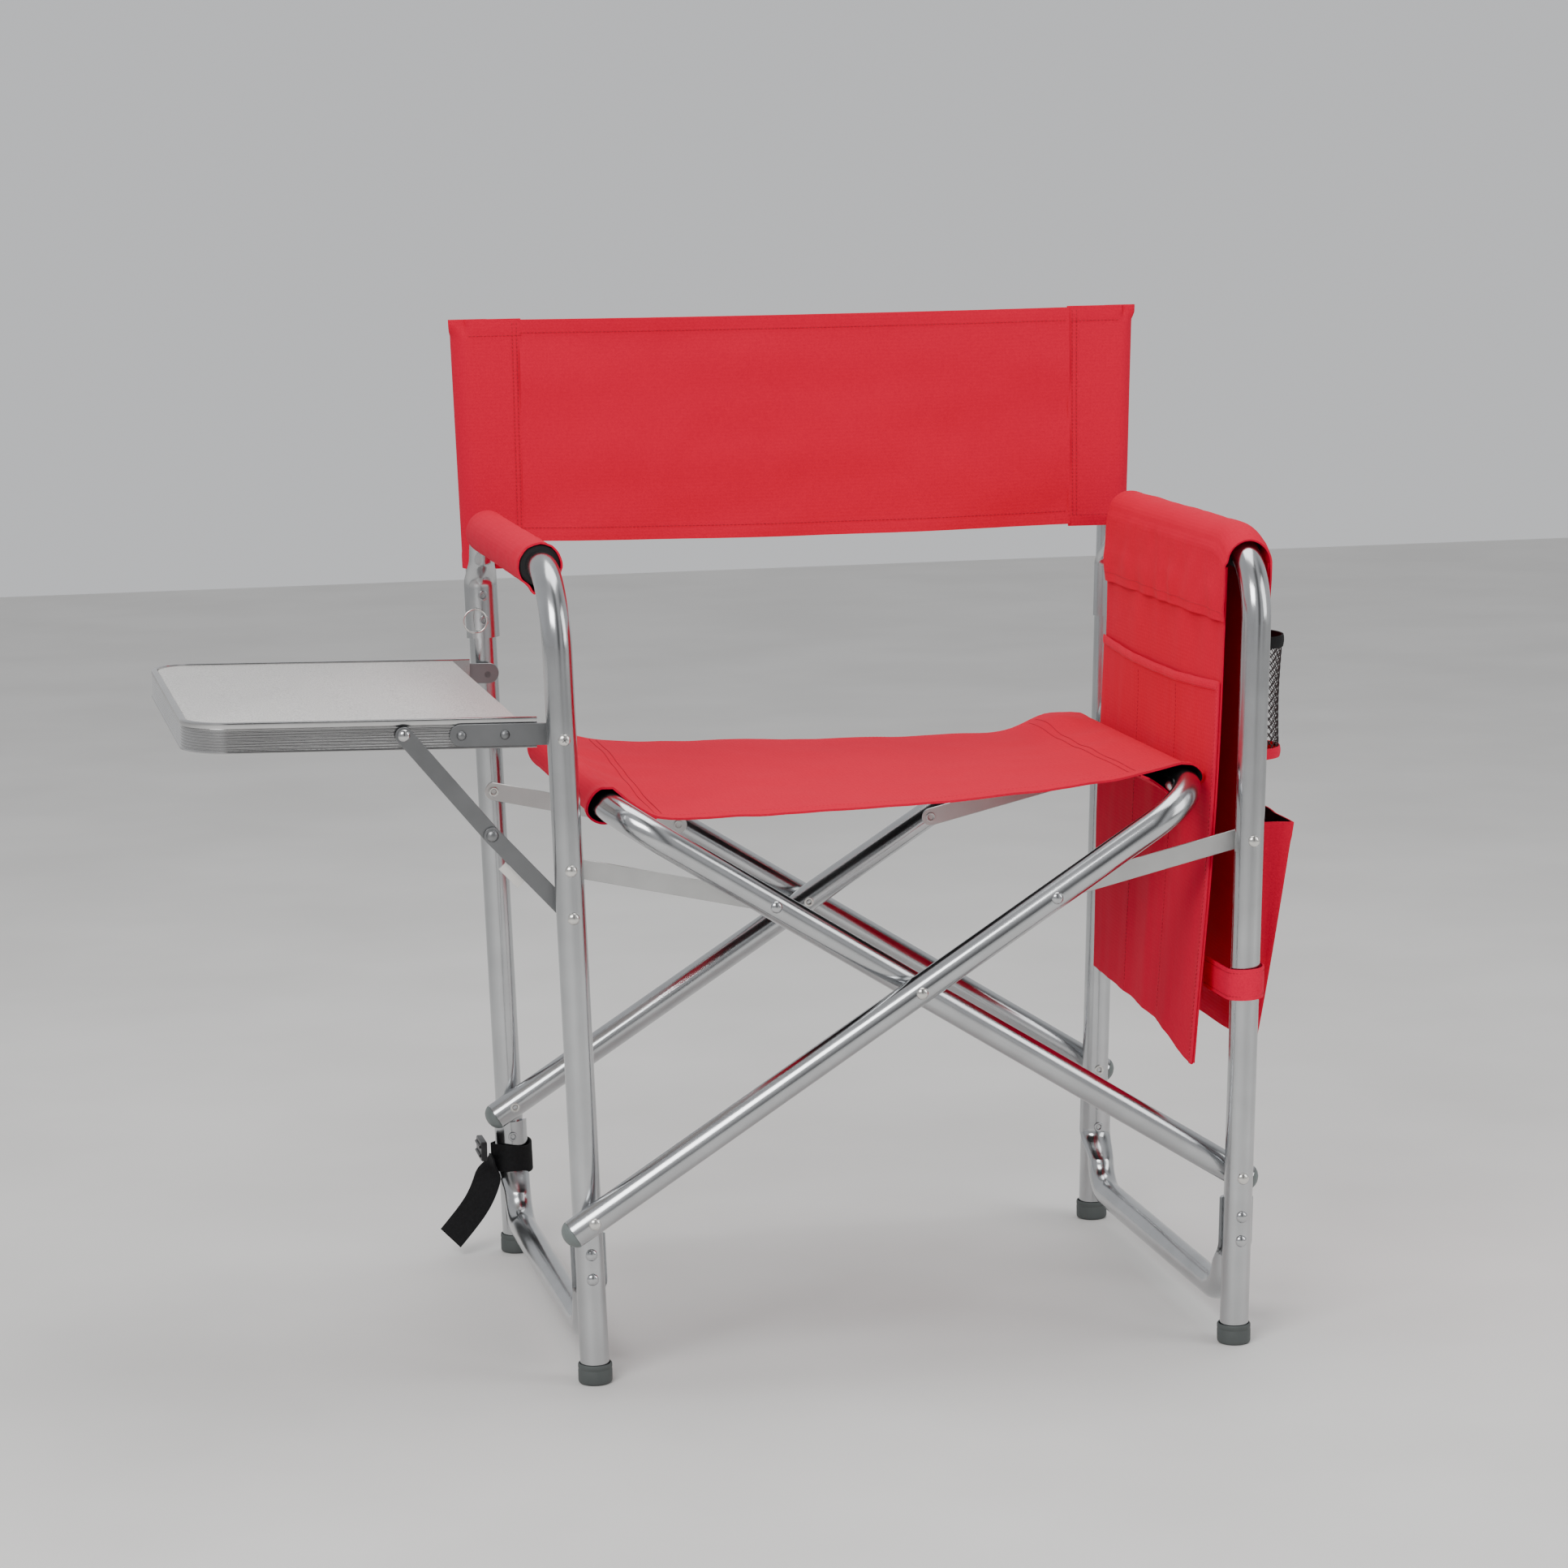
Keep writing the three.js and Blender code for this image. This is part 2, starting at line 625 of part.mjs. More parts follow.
function addTable() {
  const group = groupAt(chair, tableX, 0, TABLE_HEIGHT, TABLE_RISE);
  add(group, 'table_rim', tableRim(), MATERIAL.aluminium);
  add(group, 'table_panel', tablePanel(), MATERIAL.panel);
  add(group, 'table_bracket_front', tableBracket(1), MATERIAL.bar);
  add(group, 'table_bracket_rear', tableBracket(-1), MATERIAL.bar);
  const screwEnd = BRACKET_FACE + BAR_T;
  const frontPin = rivet(-FACE, screwEnd, false);
  const rearPin = rivet(FRAME_DEPTH + FACE, FRAME_DEPTH - screwEnd, false);
  add(group, 'table_screw_front', frontPin, MATERIAL.steel);
  add(group, 'table_screw_rear', rearPin, MATERIAL.steel);
}

addTable();

function addStay() {
  const pivotX = -legX(STAY_HEIGHT);
  const lower = linkGroup(pivotX, STAY_HEIGHT, STAY_ANGLE);
  const lowerBar = join(plateXZ(linkOutline(STAY_LINK, STAY_WIDTH), FACE, BAR_T));
  const midStud = rivet(FACE + 0.1, FACE + 1, false);
  midStud.translate(STAY_LINK, 0, 0);
  const lowerBody = cut(lowerBar, holeAlongY(0, 0, FACE - 2, FACE + BAR_T + 2)).add(toSolid(midStud));
  add(lower, 'stay_lower', lowerBody, MATERIAL.bar);
  add(lower, 'stay_pin', rivet(-FACE, FACE + BAR_T + GAP), MATERIAL.steel);
  const tab = box([0, 0, 0], LOCK_TAB);
  const tabX = STAY_LINK * LOCK_TAB_AT - LOCK_TAB[0] / 2;
  const tabZ = STAY_WIDTH / 2 + GAP;
  add(lower, 'stay_lock_tab', tab, MATERIAL.steel, [tabX, FACE, tabZ]);

  const [rimX, rimZ] = fromTable(STAY_ON_RIM, RIM_LIFT);
  const midX = pivotX + STAY_LINK * Math.cos(STAY_ANGLE);
  const midZ = STAY_HEIGHT + STAY_LINK * Math.sin(STAY_ANGLE);
  const length = Math.hypot(midX - rimX, midZ - rimZ);
  const upper = linkGroup(rimX, rimZ, Math.atan2(midZ - rimZ, midX - rimX));
  const upperBar = join(plateXZ(linkOutline(length, STAY_WIDTH), LAYER_2, BAR_T));
  const eyes = [0, length].map((x) => holeAlongY(x, 0, LAYER_2 - 2, LAYER_2 + BAR_T + 2));
  add(upper, 'stay_upper', cut(upperBar, ...eyes), MATERIAL.bar);
}

addStay();

// ---------------------------------------------------------------- arm pads
function addArmPads() {
  const foam = ringAlongY(HUG, FOAM_R, PAD_START, PAD_END);
  const cover = ringAlongY(FOAM_R + GAP, COVER_R, PAD_START - 1, PAD_END);
  add(leftFrame, 'arm_foam_left', foam, MATERIAL.foam, [0, 0, ARM_HEIGHT]);
  add(leftFrame, 'arm_cover_left', cover, MATERIAL.cloth, [0, 0, ARM_HEIGHT]);
  add(rightFrame, 'arm_foam_right', foam.clone(), MATERIAL.foam, [0, 0, ARM_HEIGHT]);
}

addArmPads();

// ---------------------------------------------------------------- arm organiser
// In the right frame's own axes: +X is outwards, y from its front leg, z up the leg.
const bagEnd = BAG_START + BAG_LENGTH;

function innerBag() {
  const top = ARM_HEIGHT - COVER_R * 0.55;
  const drop = top - BAG_BOTTOM;
  const face = -BAG_OFFSET;
  const slant = BAG_SLANT * drop;
  const thick = 2 * CLOTH_T + INNER_POCKET_DEPTH;
  const pocketSlant = BAG_SLANT * (top - INNER_POCKET_TOP);
  const outline = [
    [face, top],
    [face - CLOTH_T, top],
    [face - CLOTH_T - pocketSlant, INNER_POCKET_TOP],
    [face - thick - pocketSlant, INNER_POCKET_TOP],
    [face - thick - slant, BAG_BOTTOM],
    [face - slant, BAG_BOTTOM],
  ];
  const body = join(plateXZ(outline, BAG_START, BAG_LENGTH));
  const inside = [
    [face - CLOTH_T - pocketSlant, INNER_POCKET_TOP + 1],
    [face - CLOTH_T - INNER_POCKET_DEPTH - pocketSlant, INNER_POCKET_TOP + 1],
    [face - CLOTH_T - INNER_POCKET_DEPTH - slant, BAG_BOTTOM + CLOTH_T],
    [face - CLOTH_T - slant, BAG_BOTTOM + CLOTH_T],
  ];
  return cut(body, plateXZ(inside, BAG_START + CLOTH_T, BAG_LENGTH - 2 * CLOTH_T));
}

function outerBag() {
  const top = ARM_HEIGHT - COVER_R * 0.55;
  const face = BAG_OFFSET;
  const outline = [
    [face, top],
    [face, BAG_BOTTOM],
    [face + CLOTH_T + 6, BAG_BOTTOM],
    [face + CLOTH_T + LOWER_POCKET_DEPTH, LOWER_POCKET_TOP],
    [face + CLOTH_T, LOWER_POCKET_TOP],
    [face + CLOTH_T, top],
  ];
  const inside = [
    [face + CLOTH_T, LOWER_POCKET_TOP + 1],
    [face + CLOTH_T, BAG_BOTTOM + 3 * CLOTH_T],
    [face + CLOTH_T + 5, BAG_BOTTOM + 3 * CLOTH_T],
    [face + LOWER_POCKET_DEPTH, LOWER_POCKET_TOP + 1],
  ];
  const body = join(plateXZ(outline, BAG_START, BAG_LENGTH));
  return cut(body, plateXZ(inside, BAG_START + CLOTH_T, BAG_LENGTH - 2 * CLOTH_T));
}

// A half-round cup of mesh on the outer bag's face.
function cupPocket() {
  const face = BAG_OFFSET + CLOTH_T + GAP;
  const halfRing = (radius, flat) => [
    [face + flat, -radius],
    ...arcPoints(face + flat, 0, radius, -Math.PI / 2, Math.PI / 2, 12).slice(1, -1),
    [face + flat, radius],
  ];
  const outer = plateXY(halfRing(CUP_RADIUS, 0), CUP_BOTTOM, CUP_TOP - CUP_BOTTOM);
  const floorHeight = CUP_BOTTOM + CLOTH_T;
  const inner = plateXY(halfRing(CUP_RADIUS - CLOTH_T, CLOTH_T), floorHeight, CUP_TOP);
  return cut(join(outer), inner);
}

// A fabric strap from the bags' front edges round the front of the leg.
function legLoop() {
  const inside = BAG_OFFSET - 1;
  const outside = inside + CLOTH_T;
  const front = -TUBE_R - 2;
  const rear = BAG_START - GAP;
  const outline = [
    [-outside, rear], [-outside, front], [-outside + 3, front - CLOTH_T], [outside - 3, front - CLOTH_T],
    [outside, front], [outside, rear], [inside, rear], [inside, front + 1],
    [inside - 2, front], [-inside + 2, front], [-inside, front + 1], [-inside, rear],
  ];
  return plateXY(outline, LOOP_HEIGHTS[0], LOOP_HEIGHTS[1] - LOOP_HEIGHTS[0]);
}

function addOrganiser() {
  const cover = ringAlongY(FOAM_R + GAP, COVER_R, PAD_START, PAD_END);
  add(rightFrame, 'organiser_cover', cover, MATERIAL.cloth, [0, 0, ARM_HEIGHT]);
  const clearance = ringAlongY(1, COVER_R + GAP, -TUBE_R, FRAME_DEPTH).translate(0, 0, ARM_HEIGHT);
  add(rightFrame, 'organiser_inner_bag', cut(innerBag(), clearance), MATERIAL.cloth);
  add(rightFrame, 'organiser_outer_bag', cut(outerBag(), clearance), MATERIAL.cloth);
  add(rightFrame, 'organiser_cup_pocket', cupPocket(), MATERIAL.mesh, [0, BAG_START + CUP_AT, 0]);
  add(rightFrame, 'organiser_leg_loop', legLoop(), MATERIAL.cloth);
}

addOrganiser();

// ---------------------------------------------------------------- seat sling
const railX = RAIL_REACH * Math.cos(CROSS_ANGLE) - PIVOT_X;
const railZ = PIVOT_HEIGHT + RAIL_REACH * Math.sin(CROSS_ANGLE);
const railStart = RAIL_BEND + 1;
const railEnd = FRAME_DEPTH - RAIL_BEND - 1;

function seatPanel() {
  const half = railX - SLEEVE_R - GAP;
  const steps = 12;
  const upper = [];
  const lower = [];
  for (let i = 0; i <= steps; i += 1) {
    const x = -half + 2 * half * i / steps;
    const z = railZ + CLOTH_T / 2 - SEAT_SAG * (1 - (x / half) ** 2);
    upper.push([x, z]);
    lower.unshift([x, z - CLOTH_T]);
  }
  const slab = plateXZ([...upper, ...lower], 0, railEnd - railStart);
  const shear = new THREE.Matrix4();
  shear.elements[1] = -STAGGER / (2 * half);
  slab.applyMatrix4(shear);
  return slab.translate(0, railStart - STAGGER / 2, 0);
}

function addSeat() {
  const sleeve = ringAlongY(HUG, SLEEVE_R, railStart, railEnd);
  add(crossB, 'seat_sleeve_left', sleeve, MATERIAL.cloth, [RAIL_REACH, 0, 0]);
  add(crossA, 'seat_sleeve_right', sleeve.clone(), MATERIAL.cloth, [RAIL_REACH, 0, 0]);
  add(chair, 'seat_panel', seatPanel(), MATERIAL.cloth);
}

addSeat();

// ---------------------------------------------------------------- back sling
function backPanel() {
  const steps = 10;
  const edge = (z, side) => side * (legX(z) - SLEEVE_R / Math.cos(SPLAY) - GAP);
  const postY = (x, z) => FRAME_DEPTH - STAGGER * (x + legX(z)) / (2 * legX(z));
  const front = [];
  const rear = [];
  for (let i = 0; i <= steps; i += 1) {
    const x = -edge(BACK_BOTTOM, 1) + 2 * edge(BACK_BOTTOM, 1) * i / steps;
    const bow = BACK_BULGE * (1 - (x / edge(BACK_BOTTOM, 1)) ** 2);
    const y = postY(x, BACK_BOTTOM) + bow;
    front.push([x, y - CLOTH_T / 2]);
    rear.unshift([x, y + CLOTH_T / 2]);
  }
  const slab = plateXY([...front, ...rear], 0, BACK_TOP - BACK_BOTTOM);
  const widen = slab.attributes.position;
  for (let i = 0; i < widen.count; i += 1) {
    const height = BACK_BOTTOM + widen.getZ(i);
    widen.setX(i, widen.getX(i) * edge(height, 1) / edge(BACK_BOTTOM, 1));
    widen.setZ(i, height);
  }
  return slab;
}

function backSleeve() {
  const profile = [
    [HUG, BACK_SLEEVE_BOTTOM], [SLEEVE_R, BACK_SLEEVE_BOTTOM], [SLEEVE_R, along(BACK_TOP)],
    [HUG, along(BACK_TOP)], [HUG, BACK_SLEEVE_BOTTOM],
  ];
  const sleeve = join(lathe(profile, TUBE_SIDES).rotateX(Math.PI / 2));
  const notchTop = ARM_HEIGHT - TUBE_R + GAP;
  return cut(sleeve, box([-20, -20, BACK_SLEEVE_BOTTOM - 1], [20, -2, notchTop]));
}

function addBack() {
  add(leftFrame, 'back_sleeve_left', backSleeve(), MATERIAL.cloth, [0, FRAME_DEPTH, 0]);
  add(rightFrame, 'back_sleeve_right', backSleeve(), MATERIAL.cloth, [0, FRAME_DEPTH, 0]);
  add(chair, 'back_panel', backPanel(), MATERIAL.cloth);
}

addBack();

// ---------------------------------------------------------------- carry strap, buckle and ring
// The black webbing is looped round the left stretcher's rear upright; its tail hangs outside.
function carryStrap() {
  const r = LOOP_R;
  const t = WEB_T;
  const halfWidth = WEB_WIDTH / 2;
  const loop = [
    ...arcPoints(0, 0, r + t, -Math.PI * 0.9, Math.PI * 0.9, 14),
    ...arcPoints(0, 0, r, Math.PI * 0.9, -Math.PI * 0.9, 14),
  ];
  return plateXY(loop, -halfWidth, WEB_WIDTH);
}

function strapTail() {
  const path = [];
  const drop = 72;
  for (let i = 0; i <= 6; i += 1) {
    const s = i / 6;
    path.push([-6 * s - 34 * s * s, -drop * s]);
  }
  const outline = [...path, ...path.slice().reverse().map(([x, z]) => [x - WEB_T, z - 0.4])];
  return plateXZ(outline, -WEB_WIDTH / 2, WEB_WIDTH);
}

function addTrim() {
  const rear = FRAME_DEPTH;
  add(leftFrame, 'carry_strap_loop', carryStrap(), MATERIAL.webbing, [0, rear, WEB_HEIGHT]);
  const tailX = -LOOP_R - WEB_T - 6;
  const tailY = rear - 14;
  add(leftFrame, 'carry_strap_tail', strapTail(), MATERIAL.webbing, [tailX, tailY, WEB_HEIGHT + 2]);
  const buckle = box(BUCKLE.map((size) => -size / 2), BUCKLE.map((size) => size / 2));
  const buckleAt = [tailX - 3.8, tailY, WEB_HEIGHT + 12.5];
  add(leftFrame, 'carry_strap_buckle', buckle, MATERIAL.lining, buckleAt);
  const ring = new THREE.TorusGeometry(RING_R, RING_WIRE, 6, 16).rotateX(Math.PI / 2);
  const ringY = rear - FACE - SADDLE_WALL - COLLAR_H - RING_WIRE - GAP;
  add(leftFrame, 'pull_ring', ring, MATERIAL.steel, [-RING_R + 2, ringY, along(ARM_RIVETS[1])]);
}

addTrim();

// ---------------------------------------------------------------- origin: middle of the footprint
const bounds = new THREE.Box3().setFromObject(chair);
const middle = bounds.getCenter(new THREE.Vector3());
chair.position.set(-middle.x, -middle.y, -bounds.min.z);
chair.updateMatrixWorld(true);

export default chair;
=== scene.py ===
import math

import bpy
from mathutils import Matrix, Vector, noise


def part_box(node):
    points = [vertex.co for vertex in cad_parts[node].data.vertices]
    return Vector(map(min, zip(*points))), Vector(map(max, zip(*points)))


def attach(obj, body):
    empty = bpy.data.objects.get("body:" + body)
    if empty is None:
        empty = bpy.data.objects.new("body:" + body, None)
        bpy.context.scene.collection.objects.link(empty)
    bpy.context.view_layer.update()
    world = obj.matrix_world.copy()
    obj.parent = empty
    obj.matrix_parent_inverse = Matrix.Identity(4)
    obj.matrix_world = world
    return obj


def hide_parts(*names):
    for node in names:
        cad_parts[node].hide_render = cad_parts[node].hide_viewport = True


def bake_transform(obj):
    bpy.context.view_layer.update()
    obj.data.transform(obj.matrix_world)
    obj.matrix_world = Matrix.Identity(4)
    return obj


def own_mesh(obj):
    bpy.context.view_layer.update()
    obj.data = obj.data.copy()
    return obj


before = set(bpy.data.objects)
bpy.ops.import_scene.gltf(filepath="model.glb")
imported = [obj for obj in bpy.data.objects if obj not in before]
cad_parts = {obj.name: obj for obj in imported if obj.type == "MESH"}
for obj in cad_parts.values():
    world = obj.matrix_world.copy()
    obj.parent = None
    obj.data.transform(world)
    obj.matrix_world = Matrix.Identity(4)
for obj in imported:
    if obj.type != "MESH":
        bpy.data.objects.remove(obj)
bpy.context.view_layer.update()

# ---------------------------------------------------------------- sizes, in millimetres
# Chair axes: x = 0 at mid width, y = 0 at the left front leg, z = 0 on the floor.
HALF = 270.0
DEPTH = 420.6
SPLAY = 0.03
STAGGER = 27.0
TUBE_R = 12.0
ARM_HEIGHT = 668.0
ARM_BEND = 60.0
RIDE = 24.6
FACE = 12.3
SADDLE_R = FACE + 3
PIVOT_HEIGHT = 143.5
CROSS_HEIGHT = 317.5
RAIL_REACH = 611.08
RAIL_BEND = 50.0
PIVOT_X = HALF + PIVOT_HEIGHT * math.tan(SPLAY)
CROSS_ANGLE = math.atan2(CROSS_HEIGHT - PIVOT_HEIGHT, PIVOT_X)
RAIL_X = RAIL_REACH * math.cos(CROSS_ANGLE) - PIVOT_X
RAIL_Z = PIVOT_HEIGHT + RAIL_REACH * math.sin(CROSS_ANGLE)
STRAP_HEIGHT = 429.0
STRAP_REACH = 460.6
TABLE_HEIGHT = 535.6
TABLE_RISE = 0.024
STAY_HEIGHT = 390.0
STAY_LINK = 90.0
STAY_ANGLE = math.radians(132.2)


def centre(node):
    low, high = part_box(node)
    return (low + high) / 2


LEFT_FOOT = centre("foot_front_left")
RIGHT_FOOT = centre("foot_front_right")
ORIGIN = Vector(((LEFT_FOOT.x + RIGHT_FOOT.x) / 2, LEFT_FOOT.y, 0))


def place(point):
    """Chair millimetres to the frame's metres."""
    return ORIGIN + Vector(point) / 1000


def leg_x(height):
    return HALF + height * math.tan(SPLAY)


def side_frame(side):
    """Maps a side frame's own axes (x outwards on the right, y back, z up the leg) to the chair's."""
    c, s = math.cos(SPLAY), math.sin(SPLAY) * side
    y0 = -STAGGER if side > 0 else 0.0
    return lambda p: Vector((side * HALF + p[0] * c + p[2] * s, p[1] + y0, p[2] * c - p[0] * s))


def turned_frame(x0, y0, z0, angle):
    """Maps axes turned counter-clockwise, seen from the front, about a point."""
    c, s = math.cos(angle), math.sin(angle)
    return lambda p: Vector((x0 + p[0] * c - p[2] * s, y0 + p[1], z0 + p[0] * s + p[2] * c))


LEFT = side_frame(-1)
RIGHT = side_frame(1)
CROSS_A = turned_frame(-PIVOT_X, -STAGGER, PIVOT_HEIGHT, CROSS_ANGLE)
CROSS_B = turned_frame(PIVOT_X, 0, PIVOT_HEIGHT, math.pi - CROSS_ANGLE)
TABLE = turned_frame(-leg_x(TABLE_HEIGHT), 0, TABLE_HEIGHT, -TABLE_RISE)


def smooth(t):
    t = min(1.0, max(0.0, t))
    return t * t * (3 - 2 * t)


def mix(a, b, t):
    return a + (b - a) * t


def bell(value, middle, width):
    return math.exp(-((value - middle) / width) ** 2)


def chair_box(node_name):
    """A CAD node's low and high corners, in chair millimetres."""
    return [(corner - ORIGIN) * 1000 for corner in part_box(node_name)]


def moved(points, x, y, z):
    return [p + Vector((x, y, z)) for p in points]


# ---------------------------------------------------------------- mesh building
class Solid:
    """Collects vertices in chair millimetres and faces, and turns them into one object."""

    def __init__(self, to_chair=Vector):
        self.to_chair = to_chair
        self.verts = []
        self.faces = []
        self.uvs = []
        self.slots = []

    def add(self, verts, faces, uvs=None, slots=None):
        """Adds faces; uvs and material slots, where given, hold one entry for each face."""
        base = len(self.verts)
        self.verts += [self.to_chair(v) for v in verts]
        self.faces += [[base + i for i in face] for face in faces]
        self.uvs += uvs or [None] * len(faces)
        self.slots += slots or [0] * len(faces)

    def build(self, name, materials, sharp=35.0):
        mesh = bpy.data.meshes.new(name)
        mesh.from_pydata([place(v) for v in self.verts], [], self.faces)
        if any(uv is not None for uv in self.uvs):
            layer = mesh.uv_layers.new(name="UVMap")
            for poly, uv in zip(mesh.polygons, self.uvs):
                for loop, value in zip(poly.loop_indices, uv or [(0, 0)] * poly.loop_total):
                    layer.data[loop].uv = value
        obj = bpy.data.objects.new(name, mesh)
        bpy.context.scene.collection.objects.link(obj)
        for material in materials if isinstance(materials, (list, tuple)) else [materials]:
            mesh.materials.append(material)
        for poly, slot in zip(mesh.polygons, self.slots):
            poly.material_index = slot
        mesh.shade_smooth()
        mesh.set_sharp_from_angle(angle=math.radians(sharp))
        mesh.update()
        return obj


def loft(solid, rings, closed_ends=True):
    """Joins rings of the same number of points; the two ends are closed with a face each."""
    n = len(rings[0])
    verts = [p for ring in rings for p in ring]
    faces = []
    for i in range(len(rings) - 1):
        for k in range(n):
            a, b = i * n + k, i * n + (k + 1) % n
            faces.append([a, b, b + n, a + n])
    if closed_ends:
        faces.append(list(range(n))[::-1])
        faces.append([len(verts) - n + k for k in range(n)])
    solid.add(verts, faces)


def bent_path(corners, radii, steps=16, spacing=60.0):
    """Stations (point, tangent) along straight runs and round bends, with points in the runs too."""
    points = [Vector(c) for c in corners]
    ways = [(points[i + 1] - points[i]).normalized() for i in range(len(points) - 1)]
    arcs = []
    for i in range(1, len(points) - 1):
        before, after = ways[i - 1], ways[i]
        turn = before.angle(after)
        start = points[i] - before * radii[i - 1] * math.tan(turn / 2)
        inward = (after - before * after.dot(before)).normalized()
        hub = start + inward * radii[i - 1]
        arc = []
        for k in range(steps + 1):
            a = turn * k / steps
            point = hub + before * radii[i - 1] * math.sin(a) - inward * radii[i - 1] * math.cos(a)
            arc.append((point, before * math.cos(a) + inward * math.sin(a)))
        arcs.append(arc)
    out = [(points[0], ways[0])]
    for arc in arcs + [[(points[-1], ways[-1])]]:
        last, way = out[-1]
        gap = (arc[0][0] - last).length
        count = int(gap / spacing)
        for k in range(1, count + 1):
            out.append((last + way * gap * k / (count + 1), way))
        out += arc
    return out


def circle_ring(radius, count=32):
    return [(radius * math.cos(2 * math.pi * k / count), radius * math.sin(2 * math.pi * k / count))
            for k in range(count)]


def crescent_ring(offset, inner, outer, span, count=32):
    """A half shell round an axis that lies offset to the minus side."""
    ring = []
    for k in range(count):
        t = 2 * math.pi * k / count
        if t <= math.pi / 2 or t >= 3 * math.pi / 2:
            a = (t if t <= math.pi / 2 else t - 2 * math.pi) / (math.pi / 2) * span
            radius = outer
        else:
            a = (math.pi - t) / (math.pi / 2) * span
            radius = inner
        ring.append((-offset + radius * math.cos(a), radius * math.sin(a)))
    return ring


def sweep(solid, stations, across, ring_of):
    """Sweeps the ring of each point along planar stations; across is the plane's normal."""
    across = Vector(across)
    rings = []
    for point, way in stations:
        side = way.cross(across).normalized()
        rings.append([point + side * u + across * v for u, v in ring_of(point)])
    loft(solid, rings)


def circle(hub, one, two, radius, count):
    """A ring of points about hub, in the plane of two directions."""
    return [hub + one * u + two * v for u, v in circle_ring(radius, count)]


def lathe(solid, profile, base, axis, count=28):
    """Turns (radius, height) pairs about an axis through base."""
    axis = Vector(axis).normalized()
    one = axis.orthogonal().normalized()
    two = axis.cross(one)
    loft(solid, [circle(Vector(base) + axis * height, one, two, max(radius, 0.02), count)
                 for radius, height in profile])


def plate(solid, outline, low, high, bevel=0.35):
    """A flat plate in x and z between two y faces, with its edges eased. The outline is in order."""
    n = len(outline)
    area = sum(outline[i][0] * outline[(i + 1) % n][1] - outline[(i + 1) % n][0] * outline[i][1]
               for i in range(n))
    outline = outline if area > 0 else outline[::-1]
    inset = []
    for i in range(n):
        before = Vector(outline[i]) - Vector(outline[i - 1])
        after = Vector(outline[(i + 1) % n]) - Vector(outline[i])
        way = (before.normalized() + after.normalized()).normalized()
        inset.append((outline[i][0] - way.y * bevel, outline[i][1] + way.x * bevel))
    layers = [(inset, low), (outline, low + bevel), (outline, high - bevel), (inset, high)]
    loft(solid, [[Vector((x, y, z)) for x, z in ring] for ring, y in layers])


def arc_points(cx, cy, radius, start, end, steps):
    return [(cx + radius * math.cos(mix(start, end, i / steps)),
             cy + radius * math.sin(mix(start, end, i / steps))) for i in range(steps + 1)]


def link_outline(length, width):
    r = width / 2
    left = arc_points(0, 0, r, math.pi / 2, 3 * math.pi / 2, 16)
    return left + arc_points(length, 0, r, -math.pi / 2, math.pi / 2, 16)


def cloth(solid, rows, thick, back_slot=0):
    """A cloth shell from a grid of points. thick is a number, or a function of the shares along
    the rows and across them. The back may have a material slot of its own."""
    m, n = len(rows), len(rows[0])
    get = thick if callable(thick) else (lambda s, t: thick)
    normals = []
    for i in range(m):
        for j in range(n):
            du = rows[min(i + 1, m - 1)][j] - rows[max(i - 1, 0)][j]
            dv = rows[i][min(j + 1, n - 1)] - rows[i][max(j - 1, 0)]
            normal = du.cross(dv)
            normals.append(normal.normalized() if normal.length > 1e-9 else Vector((0, 0, 1)))
    along, over = [0.0], [0.0]
    for i in range(1, m):
        along.append(along[-1] + (rows[i][n // 2] - rows[i - 1][n // 2]).length / 1000)
    for j in range(1, n):
        over.append(over[-1] + (rows[m // 2][j] - rows[m // 2][j - 1]).length / 1000)
    verts = [rows[i][j] + normals[i * n + j] * get(i / (m - 1), j / (n - 1)) * side
             for side in (0.5, -0.5) for i in range(m) for j in range(n)]
    back = m * n
    faces, uvs, slots = [], [], []
    for i in range(m - 1):
        for j in range(n - 1):
            a = i * n + j
            b, c, d = a + 1, a + n + 1, a + n
            patch = [(along[i], over[j]), (along[i], over[j + 1]),
                     (along[i + 1], over[j + 1]), (along[i + 1], over[j])]
            faces += [[a, d, c, b], [back + a, back + b, back + c, back + d]]
            uvs += [[patch[0], patch[3], patch[2], patch[1]], patch]
            slots += [0, back_slot]
    edges = []
    for j in range(n - 1):
        top = (m - 1) * n + j
        edges += [(j, j + 1), (top + 1, top)]
    for i in range(m - 1):
        a, d = i * n, (i + 1) * n
        edges += [(d, a), (a + n - 1, d + n - 1)]
    rim = [[a, b, back + b, back + a] for a, b in edges]
    uvs += [[(verts[k].x / 1000, verts[k].z / 1000) for k in face] for face in rim]
    solid.add(verts, faces + rim, uvs, slots + [0] * len(rim))


def resample(points, step):
    """Points at even spacing along a polyline."""
    out = [points[0].copy()]
    need = step
    for a, b in zip(points, points[1:]):
        length = (b - a).length
        while length >= need:
            a = a + (b - a) * (need / length)
            out.append(a.copy())
            length = (b - a).length
            need = step
        need -= length
    return out


def stitches(solid, points, pitch=3.4, radius=0.34, share=0.7):
    """A row of short threads along a polyline in the solid's own axes."""
    spots = resample([Vector(p) for p in points], pitch)
    for a, b in zip(spots, spots[1:]):
        way = b - a
        if way.length < 1e-6:
            continue
        way.normalize()
        one = way.orthogonal().normalized()
        two = way.cross(one)
        loft(solid, [circle(a + way * pitch * share * along, one, two, radius * swell, 6)
                     for along, swell in ((0, 0.35), (0.18, 0.9), (0.5, 1.0), (0.82, 0.9), (1, 0.35))])


